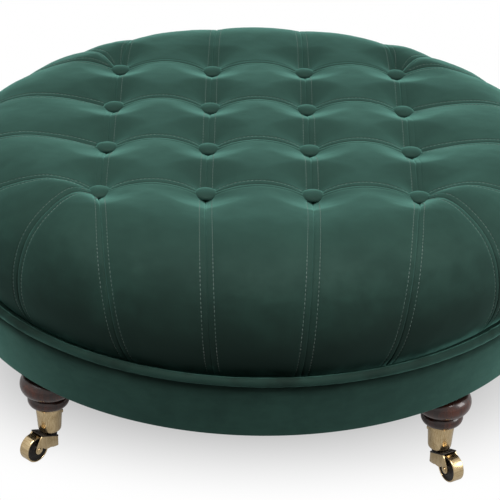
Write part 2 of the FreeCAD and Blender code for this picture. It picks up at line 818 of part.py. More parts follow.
def pillow(column, row):
    """Faces of the square pillow between four buttons: a flat middle and four falling quarters."""
    low = crease_point(column, row)
    high = crease_point(column + 1, row + 1)
    centre = (low + high) / 2
    centre.z = 0
    shares = [step / PILLOW_STRIPS for step in range(PILLOW_STRIPS + 1)]
    faces = []
    cap = []
    for quarter in range(4):
        turn = FreeCAD.Rotation(FreeCAD.Vector(0, 0, 1), 90 * quarter)
        sections = []
        for share in shares:
            sections.append([turn.multVec(point) + centre for point in pillow_section(share)])
        for near, far in zip(sections, sections[1:]):
            faces += strip_faces(near, far)
        cap += arc_points(sections[0])[:-1]
    return faces + [flat_face(cap)]


def side_panel(left_seam, right_seam):
    """Control points of a side panel between two seams, from the buttons to the piping."""
    sinks = (number(S.shoulder_seam_depth), number(S.side_seam_depth))
    lines = []
    seam_turns = []
    for start, foot_angle in (left_seam, right_seam):
        profile = side_profile(start, sinks)
        angles = seam_angles(start, foot_angle, profile)
        seam_turns.append(angles)
        lines.append(side_line(start, angles, profile))
    left, right = lines
    crest = left[0] if left[0] == right[0] else crease_middle(left[0], right[0])
    top = (left[0] + right[0]) / 4 + crest / 2
    profile = side_profile(top, (0, 0))
    angles = [(a + b) / 2 for a, b in zip(*seam_turns)]
    middle = side_line(top, angles, profile)
    rows = [[left[0], crest, right[0]]]
    for left_point, middle_point, right_point in list(zip(left, middle, right))[1:]:
        rows.append([left_point, between(left_point, right_point, middle_point), right_point])
    return rows


def front_panels():
    """The five side panels between the two front diagonal seams."""
    starts = [crease_point(column, 0) for column in range(BUTTONS_PER_SIDE)]
    inner = number(S.inner_seam_foot)
    outer = number(S.outer_seam_foot)
    seams = [(starts[0], -DIAGONAL), (starts[0], -outer), (starts[1], -inner)]
    seams += [(starts[2], inner), (starts[3], outer), (starts[3], DIAGONAL)]
    return [side_panel(left, right) for left, right in zip(seams, seams[1:])]


def side_panels():
    """Faces of the front panels, repeated on all four sides, and their lower edges."""
    faces = []
    hems = []
    for quarter in range(4):
        turn = FreeCAD.Rotation(FreeCAD.Vector(0, 0, 1), 90 * quarter)
        for rows in front_panels():
            lines = [[turn.multVec(row[side]) for row in rows] for side in range(3)]
            sections = list(zip(*[points_along(line, SIDE_STRIPS) for line in lines]))
            for near, far in zip(sections, sections[1:]):
                faces += strip_faces(near, far)
            hems += arc_points(sections[-1])[:-1]
    return faces, hems


def cover_blank():
    """Closed tufted form: nine pillows, twenty side panels and a flat underside."""
    cells = range(BUTTONS_PER_SIDE - 1)
    faces, hems = side_panels()
    for column in cells:
        for row in cells:
            faces += pillow(column, row)
    cover = Part.Compound(faces + [flat_face(hems)])
    cover.sewShape()
    solid = Part.Solid(cover.Shells[0])
    if solid.Volume < 0:
        solid.reverse()
    return solid


def ring_wire(sides, radius, x, y, z):
    """A closed many-sided wire round a point."""
    turns = [2 * math.pi * side / sides for side in range(sides + 1)]
    return Part.makePolygon([
        FreeCAD.Vector(x + radius * math.cos(turn), y + radius * math.sin(turn), z) for turn in turns
    ])


def make_cover():
    """Tufted velvet and wadding, hollow for the foam, with a well for every button."""
    stations = foam_stations(S.cloth_gap)
    rings = [ring_wire(BASE_SIDES, number(radius), 0, 0, number(height)) for radius, height in stations]
    tools = [Part.makeLoft(rings, True, True)]
    well = number(S.button_radius + S.cloth_gap)
    floor = number(BUTTON_SEAT - S.cloth_gap)
    hollow_top = number(BUTTON_SEAT - S.cover_thickness)
    up = FreeCAD.Vector(0, 0, number(S.cover_thickness))
    for x, y, _, _ in button_places():
        for sides, radius, level in ((BUTTON_SIDES, well, floor), (6, number(S.twine_hole), hollow_top)):
            plan = Part.Face(ring_wire(sides, radius, number(x), number(y), level))
            tools.append(plan.extrude(up))
    cover = doc.addObject("Part::Feature", "velvet_cover")
    cover.Label = "velvet_cover"
    cover.Shape = cover_blank().cut(tools)
    return cover


def make_buttons():
    """Domed covered buttons, drawn down into their wells."""
    rim = BUTTON_SEAT + S.button_rim
    dome = BUTTON_LEVEL - rim
    button = drum("button_master", [
        (S.button_radius, BUTTON_SEAT),
        (S.button_radius, rim),
        (0.8 * S.button_radius, rim + 0.66 * dome),
        (0.5 * S.button_radius, BUTTON_LEVEL),
    ], BUTTON_SIDES)
    return copies("covered_buttons", button, button_places())


def make_twines():
    """Waxed twines from the buttons down to the toggles under the deck."""
    return needle_bars("button_twines", S.twine_radius, DECK_BOTTOM, BUTTON_SEAT)


def make_toggles():
    """Wooden toggles that the twines are tied round, under the deck."""
    toggle = doc.addObject("Part::Box", "toggle_master")
    bind(toggle, "Length", S.toggle_length)
    bind(toggle, "Width", S.toggle_width)
    bind(toggle, "Height", S.toggle_width)
    level = DECK_BOTTOM - S.toggle_width
    places = []
    for x, y, _, angle in button_places():
        places.append((x - S.toggle_length / 2, y - S.toggle_width / 2, level, angle))
    return copies("twine_toggles", toggle, places)


nodes = []
for leg_name, leg_angle, trail_angle in zip(LEG_NAMES, LEG_ANGLES, TRAIL_ANGLES):
    nodes += make_castor(leg_name, leg_angle, trail_angle)
nodes += [make_cups(), make_legs(), make_leg_bolts()]
nodes += [make_hoop(), make_deck(), make_rails(), make_blocks(), make_dust_cloth()]
nodes += [make_band(), make_piping()]
nodes += [make_foam(), make_cover()]
nodes += [make_buttons(), make_twines(), make_toggles()]

doc.recompute()
for thing in doc.Objects:
    bad = {"Invalid", "Error"} & set(thing.State)
    if bad:
        raise RuntimeError(f"{thing.Label} did not build")
for node in nodes:
    if node.Shape.isNull() or not node.Shape.isValid():
        raise RuntimeError(f"{node.Label} has no valid shape")
for node in nodes:
    node.Shape.exportStep(f"parts/{node.Label}.step")
    print(node.Label, len(node.Shape.Solids), round(node.Shape.Volume))
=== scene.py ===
import math

import bmesh
import bpy
import numpy as np
from mathutils import Matrix, Vector, geometry, noise


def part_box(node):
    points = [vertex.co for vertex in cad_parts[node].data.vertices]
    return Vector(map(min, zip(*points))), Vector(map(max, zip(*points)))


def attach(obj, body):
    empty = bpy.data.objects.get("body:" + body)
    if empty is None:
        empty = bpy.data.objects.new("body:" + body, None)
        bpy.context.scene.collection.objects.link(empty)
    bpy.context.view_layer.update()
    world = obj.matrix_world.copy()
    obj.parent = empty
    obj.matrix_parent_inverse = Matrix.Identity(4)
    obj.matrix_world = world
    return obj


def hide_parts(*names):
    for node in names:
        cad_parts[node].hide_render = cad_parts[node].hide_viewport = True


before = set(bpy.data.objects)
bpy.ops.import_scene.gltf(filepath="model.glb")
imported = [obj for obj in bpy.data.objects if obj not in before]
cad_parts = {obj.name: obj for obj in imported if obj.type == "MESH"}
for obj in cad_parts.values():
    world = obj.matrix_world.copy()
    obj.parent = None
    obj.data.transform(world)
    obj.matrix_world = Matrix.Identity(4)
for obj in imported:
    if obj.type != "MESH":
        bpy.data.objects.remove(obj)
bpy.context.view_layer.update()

# Round, deep-buttoned velvet footstool. Lengths are millimetres, and piece() turns them into metres.
MM = 0.001
rng = np.random.default_rng(7)


def level(node, top=True):
    """Highest or lowest level of a solid, in millimetres."""
    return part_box(node)[1 if top else 0].z / MM


def on_circle(radius, angle):
    """Plan place at this radius and angle, in degrees."""
    return radius * math.cos(math.radians(angle)), radius * math.sin(math.radians(angle))


BAND_LOW = level("plinth_band", False)
BAND_TOP = level("plinth_band")
CROWN = level("velvet_cover")
SEAT = level("covered_buttons", False)
CUP_LOW = level("castor_cups", False)
CUP_HIGH = level("castor_cups")
LEG_HIGH = level("turned_legs")
CUSHION_LOW = BAND_TOP + 1.8
PITCH = 140.0
BUTTON_LINES = [PITCH * (line - 1.5) for line in range(4)]
BUTTONS = [(x, y) for y in BUTTON_LINES for x in BUTTON_LINES]
LEG_CIRCLE = 388.0
WHEEL_OFFSET = 29.3
WHEEL_RADIUS = 19.0

# Plan angle of each castor's leg, and of the way its fork trails, in degrees.
CASTORS = {
    "front_left": (-136.3, -132.5),
    "front_right": (-49.7, -60.5),
    "back_right": (43.7, 68),
    "back_left": (130.3, 130),
}
LEG_SPOTS = {name: on_circle(LEG_CIRCLE, leg_angle) for name, (leg_angle, _) in CASTORS.items()}


def leg_gap(x, y):
    """Distance in plan from the nearest leg's axis."""
    return min(math.hypot(x - leg_x, y - leg_y) for leg_x, leg_y in LEG_SPOTS.values())


# Finishes.

class Shade:
    """A number on its way through a finish. Arithmetic on it adds Math nodes."""

    def __init__(self, finish, socket):
        self.finish = finish
        self.socket = socket

    def maths(self, operation, first, second):
        return self.finish.node("ShaderNodeMath", {"operation": operation}, {0: first, 1: second})

    def __add__(self, other):
        return self.maths("ADD", self, other)

    def __radd__(self, other):
        return self.maths("ADD", other, self)

    def __sub__(self, other):
        return self.maths("SUBTRACT", self, other)

    def __rsub__(self, other):
        return self.maths("SUBTRACT", other, self)

    def __mul__(self, other):
        return self.maths("MULTIPLY", self, other)

    def __rmul__(self, other):
        return self.maths("MULTIPLY", other, self)

    def step(self, low, high, start=0.0, end=1.0):
        """Runs smoothly from start to end as the number goes from low to high."""
        inputs = {"Value": self, "From Min": low, "From Max": high, "To Min": start, "To Max": end}
        return self.finish.node("ShaderNodeMapRange", {"interpolation_type": "SMOOTHSTEP"}, inputs)


class Finish:
    """A material under way, and the ways to add to it."""

    def __init__(self, name, **constants):
        self.material = bpy.data.materials.new(name)
        self.material.use_nodes = True
        self.tree = self.material.node_tree
        self.surface = self.tree.nodes["Principled BSDF"]
        self.output = self.tree.nodes["Material Output"]
        for socket, value in constants.items():
            self.feed(self.surface.inputs[socket.replace("_", " ")], value)

    def feed(self, socket, value):
        """Links a number on its way to a socket, or sets the socket's own value."""
        if isinstance(value, Shade):
            self.tree.links.new(value.socket, socket)
        else:
            socket.default_value = value

    def node(self, kind, settings=None, inputs=None, output=0):
        """Adds a node, its settings first and then its sockets, and gives one of its outputs."""
        made = self.tree.nodes.new(kind)
        for key, value in (settings or {}).items():
            setattr(made, key, value)
        for key, value in (inputs or {}).items():
            self.feed(made.inputs[key], value)
        return Shade(self, made.outputs[output])

    def place(self):
        """Place on the piece, in metres."""
        return self.node("ShaderNodeTexCoord", output=3)

    def stretched(self, scale):
        """Place on the piece, scaled along each axis."""
        return self.node("ShaderNodeMapping", None, {"Vector": self.place(), "Scale": scale})

    def axis(self, name):
        """Place along one axis, in metres."""
        return self.node("ShaderNodeSeparateXYZ", None, {0: self.place()}, "XYZ".index(name))

    def grain(self, scale, detail=2.0, rough=0.5, where=None, warp=0.0):
        """Noise from 0 to 1 with this many waves to the metre."""
        inputs = {"Vector": where or self.place(), "Scale": scale, "Detail": detail}
        inputs.update({"Roughness": rough, "Distortion": warp})
        return self.node("ShaderNodeTexNoise", None, inputs)

    def blend(self, factor, first, second):
        """A colour between two, all of the second where the factor is 1."""
        return self.node("ShaderNodeMix", {"data_type": "RGBA"}, {0: factor, 6: first, 7: second}, 2)

    def cover(self, factor, shader):
        """Lays another shader over the surface, all of it where the factor is 1."""
        under = Shade(self, self.surface.outputs[0])
        mixed = self.node("ShaderNodeMixShader", None, {0: factor, 1: under, 2: shader})
        self.feed(self.output.inputs["Surface"], mixed)

    def bump(self, height, depth, strength=1.0):
        """Relief of this depth, in millimetres, on the surface's Normal."""
        normal = {"Height": height, "Distance": depth * MM, "Strength": strength}
        self.set("Normal", self.node("ShaderNodeBump", None, normal))

    def set(self, socket, value):
        self.feed(self.surface.inputs[socket], value)


def shade(red, green, blue):
    """A colour written as it looks on screen, 0 to 255."""
    linear = []
    for part in (red, green, blue):
        part /= 255
        linear.append(part / 12.92 if part < 0.04045 else ((part + 0.055) / 1.055) ** 2.4)
    return (*linear, 1.0)


def velvet_finish():
    """Crushed pile, lighter on top, with a darker copy of the velvet laid over the cushion's lower side as
    painted shade.
    """
    tint = shade(104, 160, 147)
    velvet = Finish("bottle_green_velvet", Sheen_Weight=1.0, Sheen_Roughness=0.43, Sheen_Tint=tint,
                    Specular_IOR_Level=0.1)
    lay = velvet.grain(7.0, 3.0, 0.55, warp=0.6)
    crush = velvet.grain(38.0, 4.0, 0.6, warp=0.4)
    brushed = velvet.grain(1.0, 3.0, 0.6, velvet.stretched((26.0, 26.0, 90.0)))
    fibre = velvet.grain(1500.0, 2.0, 0.6)
    mottle = lay * 0.45 + crush * 0.3 + brushed * 0.25
    calm = velvet.axis("Z").step(0.27, 0.39, 1.0, 0.4)
    pile = (mottle.step(0.36, 0.64) - 0.5) * calm + 0.5
    colour = velvet.blend(pile, shade(13, 31, 26), shade(23, 46, 39))
    speck = fibre.step(0.3, 0.7, 0.0, 0.35)
    velvet.set("Base Color", velvet.blend(speck, colour, shade(17, 31, 26)))
    velvet.set("Roughness", pile.step(0, 1, 0.82, 0.68))
    velvet.bump(fibre * 0.35 + crush * 0.65, 0.5, 0.55)
    # Painted shade: a darker, duller copy of the velvet, with less sheen than the velvet itself.
    painted_shade_copy = velvet.node("ShaderNodeBsdfPrincipled", None, {
        "Base Color": velvet.blend(speck, shade(13, 27, 22), shade(9, 19, 16)),
        "Roughness": 0.85,
        "Sheen Weight": 0.3,
        "Sheen Roughness": 0.4,
        "Sheen Tint": tint,
        "Specular IOR Level": 0.1,
    })
    # The painted shade covers the cushion's lower side by height, from just above the band to below the
    # shoulder, with a ragged edge.
    height = velvet.axis("Z") + (lay - 0.5) * 0.07 + (crush - 0.5) * 0.03
    velvet.cover(height.step(0.213, 0.235) * height.step(0.262, 0.368, 1.0, 0.0), painted_shade_copy)
    return velvet.material


def thread_finish(name, colour, dark):
    thread = Finish(name, Roughness=0.45, Sheen_Weight=0.2)
    twist = thread.grain(900.0, 2.0, 0.5)
    thread.set("Base Color", thread.blend(twist.step(0.35, 0.65), dark, colour))
    thread.bump(twist, 0.15)
    return thread.material


def mahogany_finish():
    """Figured wood, darkened in its hollows as painted shade."""
    wood = Finish("polished_mahogany", Coat_Weight=0.4, Coat_Roughness=0.12, Roughness=0.34,
                  Specular_IOR_Level=0.3)
    figure = wood.grain(1.0, 5.0, 0.62, wood.stretched((90.0, 90.0, 14.0)), 1.2)
    pores = wood.grain(1.0, 3.0, 0.7, wood.stretched((900.0, 900.0, 60.0)))
    # Painted shade: the wood darkens nearly to black where the leg lies hollow, in its cove and between its
    # rings.
    hollow_shade = wood.node("ShaderNodeAttribute", {"attribute_name": "hollow"}, None, 2)
    ground = wood.blend(figure.step(0.35, 0.68), shade(38, 15, 8), shade(76, 34, 17))
    pored = wood.blend(pores.step(0.52, 0.7, 0.0, 0.55), ground, shade(26, 11, 7))
    wood.set("Base Color", wood.blend(hollow_shade.step(0.0, 1.0, 0.0, 0.8), pored, shade(16, 7, 5)))
    wood.set("Roughness", figure.step(0.3, 0.7, 0.38, 0.26))
    wood.bump(pores, 0.05, 0.4)
    return wood.material


def brass_finish(name, upright):
    """Brass brushed upright or across, with a little tarnish."""
    brass = Finish(name, Metallic=1.0, Specular_IOR_Level=0.5)
    along = (1400.0, 1400.0, 30.0) if upright else (60.0, 60.0, 1500.0)
    brush = brass.grain(1.0, 3.0, 0.6, brass.stretched(along))
    tarnish = brass.grain(70.0, 3.0, 0.55, warp=0.5)
    patina = tarnish.step(0.42, 0.7)
    bright = brass.blend(brush.step(0.3, 0.7), shade(170, 146, 108), shade(204, 184, 146))
    brass.set("Base Color", brass.blend(patina * 0.3, bright, shade(126, 105, 66)))
    brass.set("Roughness", brush.step(0.3, 0.7, 0.16, 0.26) + patina * 0.08)
    brass.bump(brush, 0.003, 0.5)
    return brass.material


def black_finish():
    black = Finish("oxidised_steel", Metallic=0.7)
    scale = black.grain(300.0, 4.0, 0.6)
    worn = scale.step(0.55, 0.75)
    black.set("Base Color", black.blend(worn, shade(30, 26, 23), shade(70, 60, 48)))
    black.set("Roughness", scale.step(0.3, 0.7, 0.3, 0.5))
    black.bump(scale, 0.08)
    return black.material


def steel_finish():
    steel = Finish("zinc_steel", Metallic=1.0)
    spangle = steel.node("ShaderNodeTexVoronoi", None, {"Vector": steel.place(), "Scale": 260.0})
    colour = steel.blend(spangle.step(0.0, 0.8), shade(150, 152, 156), shade(196, 198, 202))
    steel.set("Base Color", colour)
    steel.set("Roughness", spangle.step(0.0, 0.8, 0.28, 0.42))
    return steel.material


def timber_finish(name, light, dark):
    timber = Finish(name, Roughness=0.7)
    rings = timber.grain(1.0, 4.0, 0.6, timber.stretched((60.0, 9.0, 60.0)), 0.8)
    fleck = timber.grain(700.0, 2.0, 0.6)
    colour = timber.blend(rings.step(0.35, 0.65), light, dark)
    timber.set("Base Color", timber.blend(fleck.step(0.55, 0.75, 0.0, 0.4), colour, dark))
    timber.bump(rings + fleck * 0.3, 0.2)
    return timber.material


def plywood_finish():
    ply = Finish("birch_plywood", Roughness=0.65)
    height = ply.axis("Z") * 700.0
    layers = ply.node("ShaderNodeMath", {"operation": "PINGPONG"}, {0: height, 1: 1.0})
    grain = ply.grain(1.0, 4.0, 0.6, ply.stretched((12.0, 140.0, 200.0)), 0.5)
    face = ply.blend(grain.step(0.35, 0.65), shade(206, 178, 138), shade(176, 142, 100))
    ply.set("Base Color", ply.blend(layers.step(0.4, 0.6, 0.0, 0.5), face, shade(140, 104, 66)))
    ply.bump(grain, 0.15)
    return ply.material


def cambric_finish():
    cloth = Finish("black_cambric", Roughness=0.9, Sheen_Weight=0.1)
    weft, warp = (
        cloth.node("ShaderNodeTexWave", {"bands_direction": way}, {"Vector": cloth.place(), "Scale": 300.0})
        for way in "XY"
    )
    weave = weft * warp
    cloth.set("Base Color", cloth.blend(weave, shade(17, 17, 18), shade(44, 44, 46)))
    cloth.bump(weave, 0.2)
    return cloth.material


VELVET = velvet_finish()
THREAD = thread_finish("green_topstitch_thread", shade(46, 70, 60), shade(22, 38, 32))
MAHOGANY = mahogany_finish()
BRASS = brass_finish("antique_brass", upright=True)
TREAD_BRASS = brass_finish("worn_tread_brass", upright=False)
BLACK = black_finish()
STEEL = steel_finish()
CAMBRIC = cambric_finish()
TIMBER = timber_finish("sawn_beech", shade(196, 160, 118), shade(158, 118, 80))
PLYWOOD = plywood_finish()
TWINE = thread_finish("waxed_linen_twine", shade(214, 200, 168), shade(168, 150, 116))


# Mesh helpers. Points are numpy arrays in millimetres.

# Radius of a profile's end on the axis, whose corners piece() merges into one, as it does all
# corners closer together than the second length.
TIP = 0.01
MERGE = 0.02


def ride_as_piece(mesh, material, body, replaces=()):
    """Puts a mesh in the scene as a piece of the same name, riding on a body."""
    mesh.materials.append(material)
    thing = bpy.data.objects.new(mesh.name, mesh)
    bpy.context.scene.collection.objects.link(thing)
    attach(thing, body)
    if replaces:
        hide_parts(*replaces)
    return thing


def piece(name, points, faces, material, slot, body="stool", replaces=(), smooth=True):
    """A mesh piece from points in millimetres."""
    mesh = bpy.data.meshes.new(name)
    mesh.from_pydata((np.asarray(points, float) * MM).tolist(), [], faces)
    made = bmesh.new()
    made.from_mesh(mesh)
    bmesh.ops.remove_doubles(made, verts=made.verts, dist=MERGE * MM)
    bmesh.ops.recalc_face_normals(made, faces=made.faces)
    made.to_mesh(mesh)
    made.free()
    if smooth:
        mesh.polygons.foreach_set("use_smooth", [True] * len(mesh.polygons))
    return ride_as_piece(mesh, material, body, replaces)


def grid_faces(rows, columns, offset=0, closed_rows=False, closed_columns=False):
    """Quads of a grid of points stored row by row."""
    faces = []
    for row in range(rows if closed_rows else rows - 1):
        below = (row + 1) % rows
        for column in range(columns if closed_columns else columns - 1):
            right = (column + 1) % columns
            faces.append((offset + row * columns + column, offset + row * columns + right,
                          offset + below * columns + right, offset + below * columns + column))
    return faces


class Parts:
    """Several shapes gathered into one mesh."""

    def __init__(self):
        self.points = []
        self.faces = []
        self.count = 0

    def add(self, points, faces):
        points = np.asarray(points, float)
        self.points.append(points)
        self.faces += [tuple(corner + self.count for corner in face) for face in faces]
        self.count += len(points)

    def piece(self, name, material, slot, **options):
        return piece(name, np.concatenate(self.points), self.faces, material, slot, **options)


def spun(section, sides):
    """Points of a (radius, height) line spun about the upright axis, row by row."""
    section = np.asarray(section, float)
    turns = np.linspace(0, 2 * math.pi, sides, endpoint=False)
    points = np.zeros((len(section), sides, 3))
    points[:, :, 0] = section[:, 0, None] * np.cos(turns)
    points[:, :, 1] = section[:, 0, None] * np.sin(turns)
    points[:, :, 2] = section[:, 1, None]
    return points.reshape(-1, 3)


def turned(profile, sides):
    """A form turned about the upright axis from its (radius, height) profile, closed at both ends."""
    faces = grid_faces(len(profile), sides, closed_columns=True)
    if profile[0][0] > TIP:
        faces.append(tuple(range(sides)))
    if profile[-1][0] > TIP:
        faces.append(tuple(range((len(profile) - 1) * sides, len(profile) * sides)))
    return spun(profile, sides), faces


def ring_turned(section, sides):
    """A ring turned about the upright axis from a closed (radius, height) section."""
    faces = grid_faces(len(section), sides, closed_rows=True, closed_columns=True)
    return spun(section, sides), faces


def turned_about(points, angle, centre=(0, 0, 0)):
    """Points turned about the upright axis and moved to a place."""
    cos, sin = math.cos(math.radians(angle)), math.sin(math.radians(angle))
    points = np.asarray(points, float)
    turn = np.array([[cos, sin, 0], [-sin, cos, 0], [0, 0, 1]])
    return points @ turn + np.asarray(centre, float)


def arc(centre, radius, start, end, steps):
    """Points of an arc, angles in degrees."""
    turns = np.radians(np.linspace(start, end, steps + 1))
    return [(centre[0] + radius * math.cos(turn), centre[1] + radius * math.sin(turn)) for turn in turns]


def run_along(line):
    """Distance along a line of points at each of them."""
    return np.concatenate([[0], np.cumsum(np.linalg.norm(np.diff(line, axis=0), axis=1))])


def ripple(points, scale, amount, seed):
    """Soft unevenness at each point: noise of this wave length and height, in millimetres."""
    shift = Vector((seed * 17.3, seed * 5.1, seed * 9.7))
    return np.array([noise.noise(Vector(p) / scale + shift) for p in points]) * amount


# Cushion: nine pillows between the buttons and twenty panels down the sides, on one net of seams.

# Distances from a seam at which a patch has its lines of points. Stitches follow one of them.
SEAM_STEPS = (0, 0.6, 1.3, 2.2, 3.4, 5.0, 6.3, 7.3, 8.0, 8.7, 9.8, 11.5, 14.0, 18.0)
STITCH_LINE = 8.0
MIDDLE_STEPS = 24
SIDE_ROWS = 86

# A crease climbs from the level of the buttons, which hold the cloth down within a radius.
RISE = 20.0
CREASE = SEAT + RISE
BUTTON_HOLD = 14.0

# How far the seams lie in at the shoulder and at the side, and what the side's lines pass.
SEAM_SINKS = (4.0, 4.0)
CUSHION_RADIUS = 438.0
SHOULDER = CUSHION_RADIUS - 86
EDGE = CUSHION_RADIUS - 24
FULLNESS = 7.0
LOWER_FULLNESS = 3.0
WIDEST = BAND_TOP + 73.1
FOOT = 415.0
CONTROLS = 8


def seam_spacing(width):
    """Places across a panel of this width, close together beside the seam at each edge."""
    near = np.array(SEAM_STEPS) * min(1.0, width / (2.4 * SEAM_STEPS[-1]))
    inner = np.linspace(near[-1], width - near[-1], MIDDLE_STEPS + 2)[1:-1]
    return np.concatenate([near, inner, width - near[::-1]])


def spline_weights(count, shares):
    """Weight of each control point of a clamped cubic at these shares of its run."""
    spans = count - 3
    knots = np.concatenate([np.zeros(3), np.arange(spans + 1), np.full(3, spans)]).astype(float)
    at = np.clip(np.asarray(shares, float) * spans, 0, spans - 1e-9)
    basis = [((knots[i] <= at) & (at < knots[i + 1])).astype(float) for i in range(count + 3)]
    for degree in (1, 2, 3):
        raised = []
        for i in range(count + 3 - degree):
            term = np.zeros_like(at)
            if knots[i + degree] > knots[i]:
                term += (at - knots[i]) / (knots[i + degree] - knots[i]) * basis[i]
            if knots[i + degree + 1] > knots[i + 1]:
                term += (knots[i + degree + 1] - at) / (knots[i + degree + 1] - knots[i + 1]) * basis[i + 1]
            raised.append(term)
        basis = raised
    return np.stack(basis, axis=1)


def side_profile(start, sinks):
    """Radius and height of the control points below the first, down one line of the side."""
    shoulder_sink, side_sink = sinks
    drop = CROWN - WIDEST
    begin = math.hypot(start[0], start[1])
    lift = CROWN - 0.9 * shoulder_sink
    return [
        (begin + 0.34 * (SHOULDER - begin), 0.35 * start[2] + 0.65 * lift),
        (begin + 0.67 * (SHOULDER - begin), lift),
        (SHOULDER, CROWN - shoulder_sink),
        (EDGE - 0.6 * shoulder_sink, CROWN - 0.24 * drop - 0.8 * shoulder_sink),
        (CUSHION_RADIUS + FULLNESS - side_sink, WIDEST + 0.2 * drop),
        (CUSHION_RADIUS + LOWER_FULLNESS - 0.8 * side_sink, WIDEST - 0.55 * (WIDEST - CUSHION_LOW)),
        (FOOT, CUSHION_LOW),
    ]


def seam_turns(start, foot, profile):
    """Plan angle of a seam at each control point, from straight out to its foot."""
    if abs(foot) == 45:
        return [foot] * len(profile)
    foot_side = profile[-1][0] * math.sin(math.radians(foot))
    turns = []
    for index, (radius, _) in enumerate(profile, start=1):
        side = start[0] + (foot_side - start[0]) * (index / len(profile)) ** 2
        turns.append(math.degrees(math.asin(side / radius)))
    return turns


def side_line(start, turns, profile):
    """Control points of one line of the side, from its start down to the foot."""
    points = [start]
    for turn, (radius, height) in zip(turns, profile):
        points.append((*on_circle(radius, turn - 90), height))
    return np.array(points, float)


def panel_controls(left_seam, right_seam):
    """Control points of a panel's left edge, middle and right edge."""
    edges, turns = [], []
    for start, foot in (left_seam, right_seam):
        profile = side_profile(start, SEAM_SINKS)
        turns.append(seam_turns(start, foot, profile))
        edges.append(side_line(start, turns[-1], profile))
    left, right = edges
    top = (left[0] + right[0]) / 2
    if left_seam[0] != right_seam[0]:
        top[2] = CREASE
    profile = side_profile(top, (0, 0))
    middle = side_line(top, [(a + b) / 2 for a, b in zip(*turns)], profile)
    return left, middle, right


def row_shares():
    """Shares of the run down the side, close together beside the crease at the top, and the run at each."""
    fine = np.linspace(0, 1, 800)
    start = (0, BUTTON_LINES[0], CREASE)
    profile = side_profile(start, (0, 0))
    line = spline_weights(CONTROLS, fine) @ side_line(start, [0] * len(profile), profile)
    run = run_along(line)
    wanted = np.concatenate([SEAM_STEPS, np.linspace(SEAM_STEPS[-1], run[-1], SIDE_ROWS)[1:]])
    return np.interp(wanted, run, fine), wanted


ROWS, ROW_RUN = row_shares()
ROW_WEIGHTS = spline_weights(CONTROLS, ROWS)


def panel_points(left_seam, right_seam):
    """Points of a front panel and how far each is from its seams."""
    controls = panel_controls(left_seam, right_seam)
    left, middle, right = (ROW_WEIGHTS @ line for line in controls)
    bulge = 2 * middle - (left + right) / 2
    columns = 2 * len(SEAM_STEPS) + MIDDLE_STEPS
    points = np.zeros((len(ROWS), columns, 3))
    away = np.zeros((len(ROWS), columns))
    for row in range(len(ROWS)):
        width = max(np.linalg.norm(right[row] - left[row]), 1e-6)
        across = seam_spacing(width)
        share = (across / width)[:, None]
        points[row] = (1 - share) ** 2 * left[row] + 2 * share * (1 - share) * bulge[row]
        points[row] += share ** 2 * right[row]
        away[row] = np.minimum(across, width - across)
        if left_seam[0] != right_seam[0]:
            away[row] = np.minimum(away[row], ROW_RUN[row])
    return points, away


def pillow_points(column, row):
    """Points of a pillow between four buttons and how far each is from its creases."""
    across = seam_spacing(PITCH)
    local = across / (PITCH / 2) - 1
    s, t = np.meshgrid(local, local)
    a, b = np.abs(s) ** 2.2, np.abs(t) ** 2.2
    fall = (CROWN - CREASE) * (a + b - a * b)
    for corner_s in (-1, 1):
        for corner_t in (-1, 1):
            away = PITCH / 2 * np.hypot(s - corner_s, t - corner_t)
            fall += RISE * np.clip(1 - away / (PITCH / 2), 0, None) ** 2
    points = np.zeros((*s.shape, 3))
    points[:, :, 0] = (column - 1) * PITCH + s * PITCH / 2
    points[:, :, 1] = (row - 1) * PITCH + t * PITCH / 2
    points[:, :, 2] = CROWN - fall
    near = np.minimum(across, PITCH - across)
    return points, np.minimum(near[None, :], near[:, None])


def front_seams():
    """Start and foot angle of each seam of the front quarter, from left to right."""
    starts = [(x, BUTTON_LINES[0], SEAT) for x in BUTTON_LINES]
    return [(starts[0], -45), (starts[0], -23), (starts[1], -7.5),
            (starts[2], 7.5), (starts[3], 23), (starts[3], 45)]


def off_button(points):
    """Plan offset of each point from its nearest button."""
    plan = np.asarray(points)[:, None, :2] - np.array(BUTTONS)[None]
    nearest = np.linalg.norm(plan, axis=2).argmin(axis=1)
    return plan[np.arange(len(plan)), nearest]


def dimpled(patch):
    """A patch drawn down before and behind each button, so that the cloth climbs evenly from its edge."""
    points = patch.reshape(-1, 3).copy()
    off = off_button(points)
    away = np.maximum(np.linalg.norm(off, axis=1), 1e-6)
    even = np.clip(1 - (away - BUTTON_HOLD) / (PITCH / 2 - BUTTON_HOLD), 0, 1) ** 1.3
    round_off = np.clip(1 - away / (PITCH / 2), 0, 1) ** 2
    points[:, 2] -= RISE * (even - round_off) * (off[:, 1] / away) ** 2
    return points.reshape(patch.shape)


def cushion_patches():
    """Every patch of the cushion as its kind, its points and how far each is from the seams."""
    patches = [("pillow", *pillow_points(column, row)) for row in range(3) for column in range(3)]
    seams = front_seams()
    for quarter in range(4):
        for left, right in zip(seams, seams[1:]):
            kind = "corner" if left[0] == right[0] else "panel"
            patch, away = panel_points(left, right)
            moved = turned_about(patch.reshape(-1, 3), 90 * quarter)
            patches.append((kind, moved.reshape(patch.shape), away))
    return [(kind, dimpled(patch), away) for kind, patch, away in patches]


def seam_relief(away):
    """How far the cloth stands out beside a seam: a sharp valley and a stitched dip."""
    valley = -1.1 * np.exp(-(away / 0.8) ** 2)
    dip = -0.5 * np.exp(-((away - STITCH_LINE) / 0.8) ** 2)
    return valley + dip


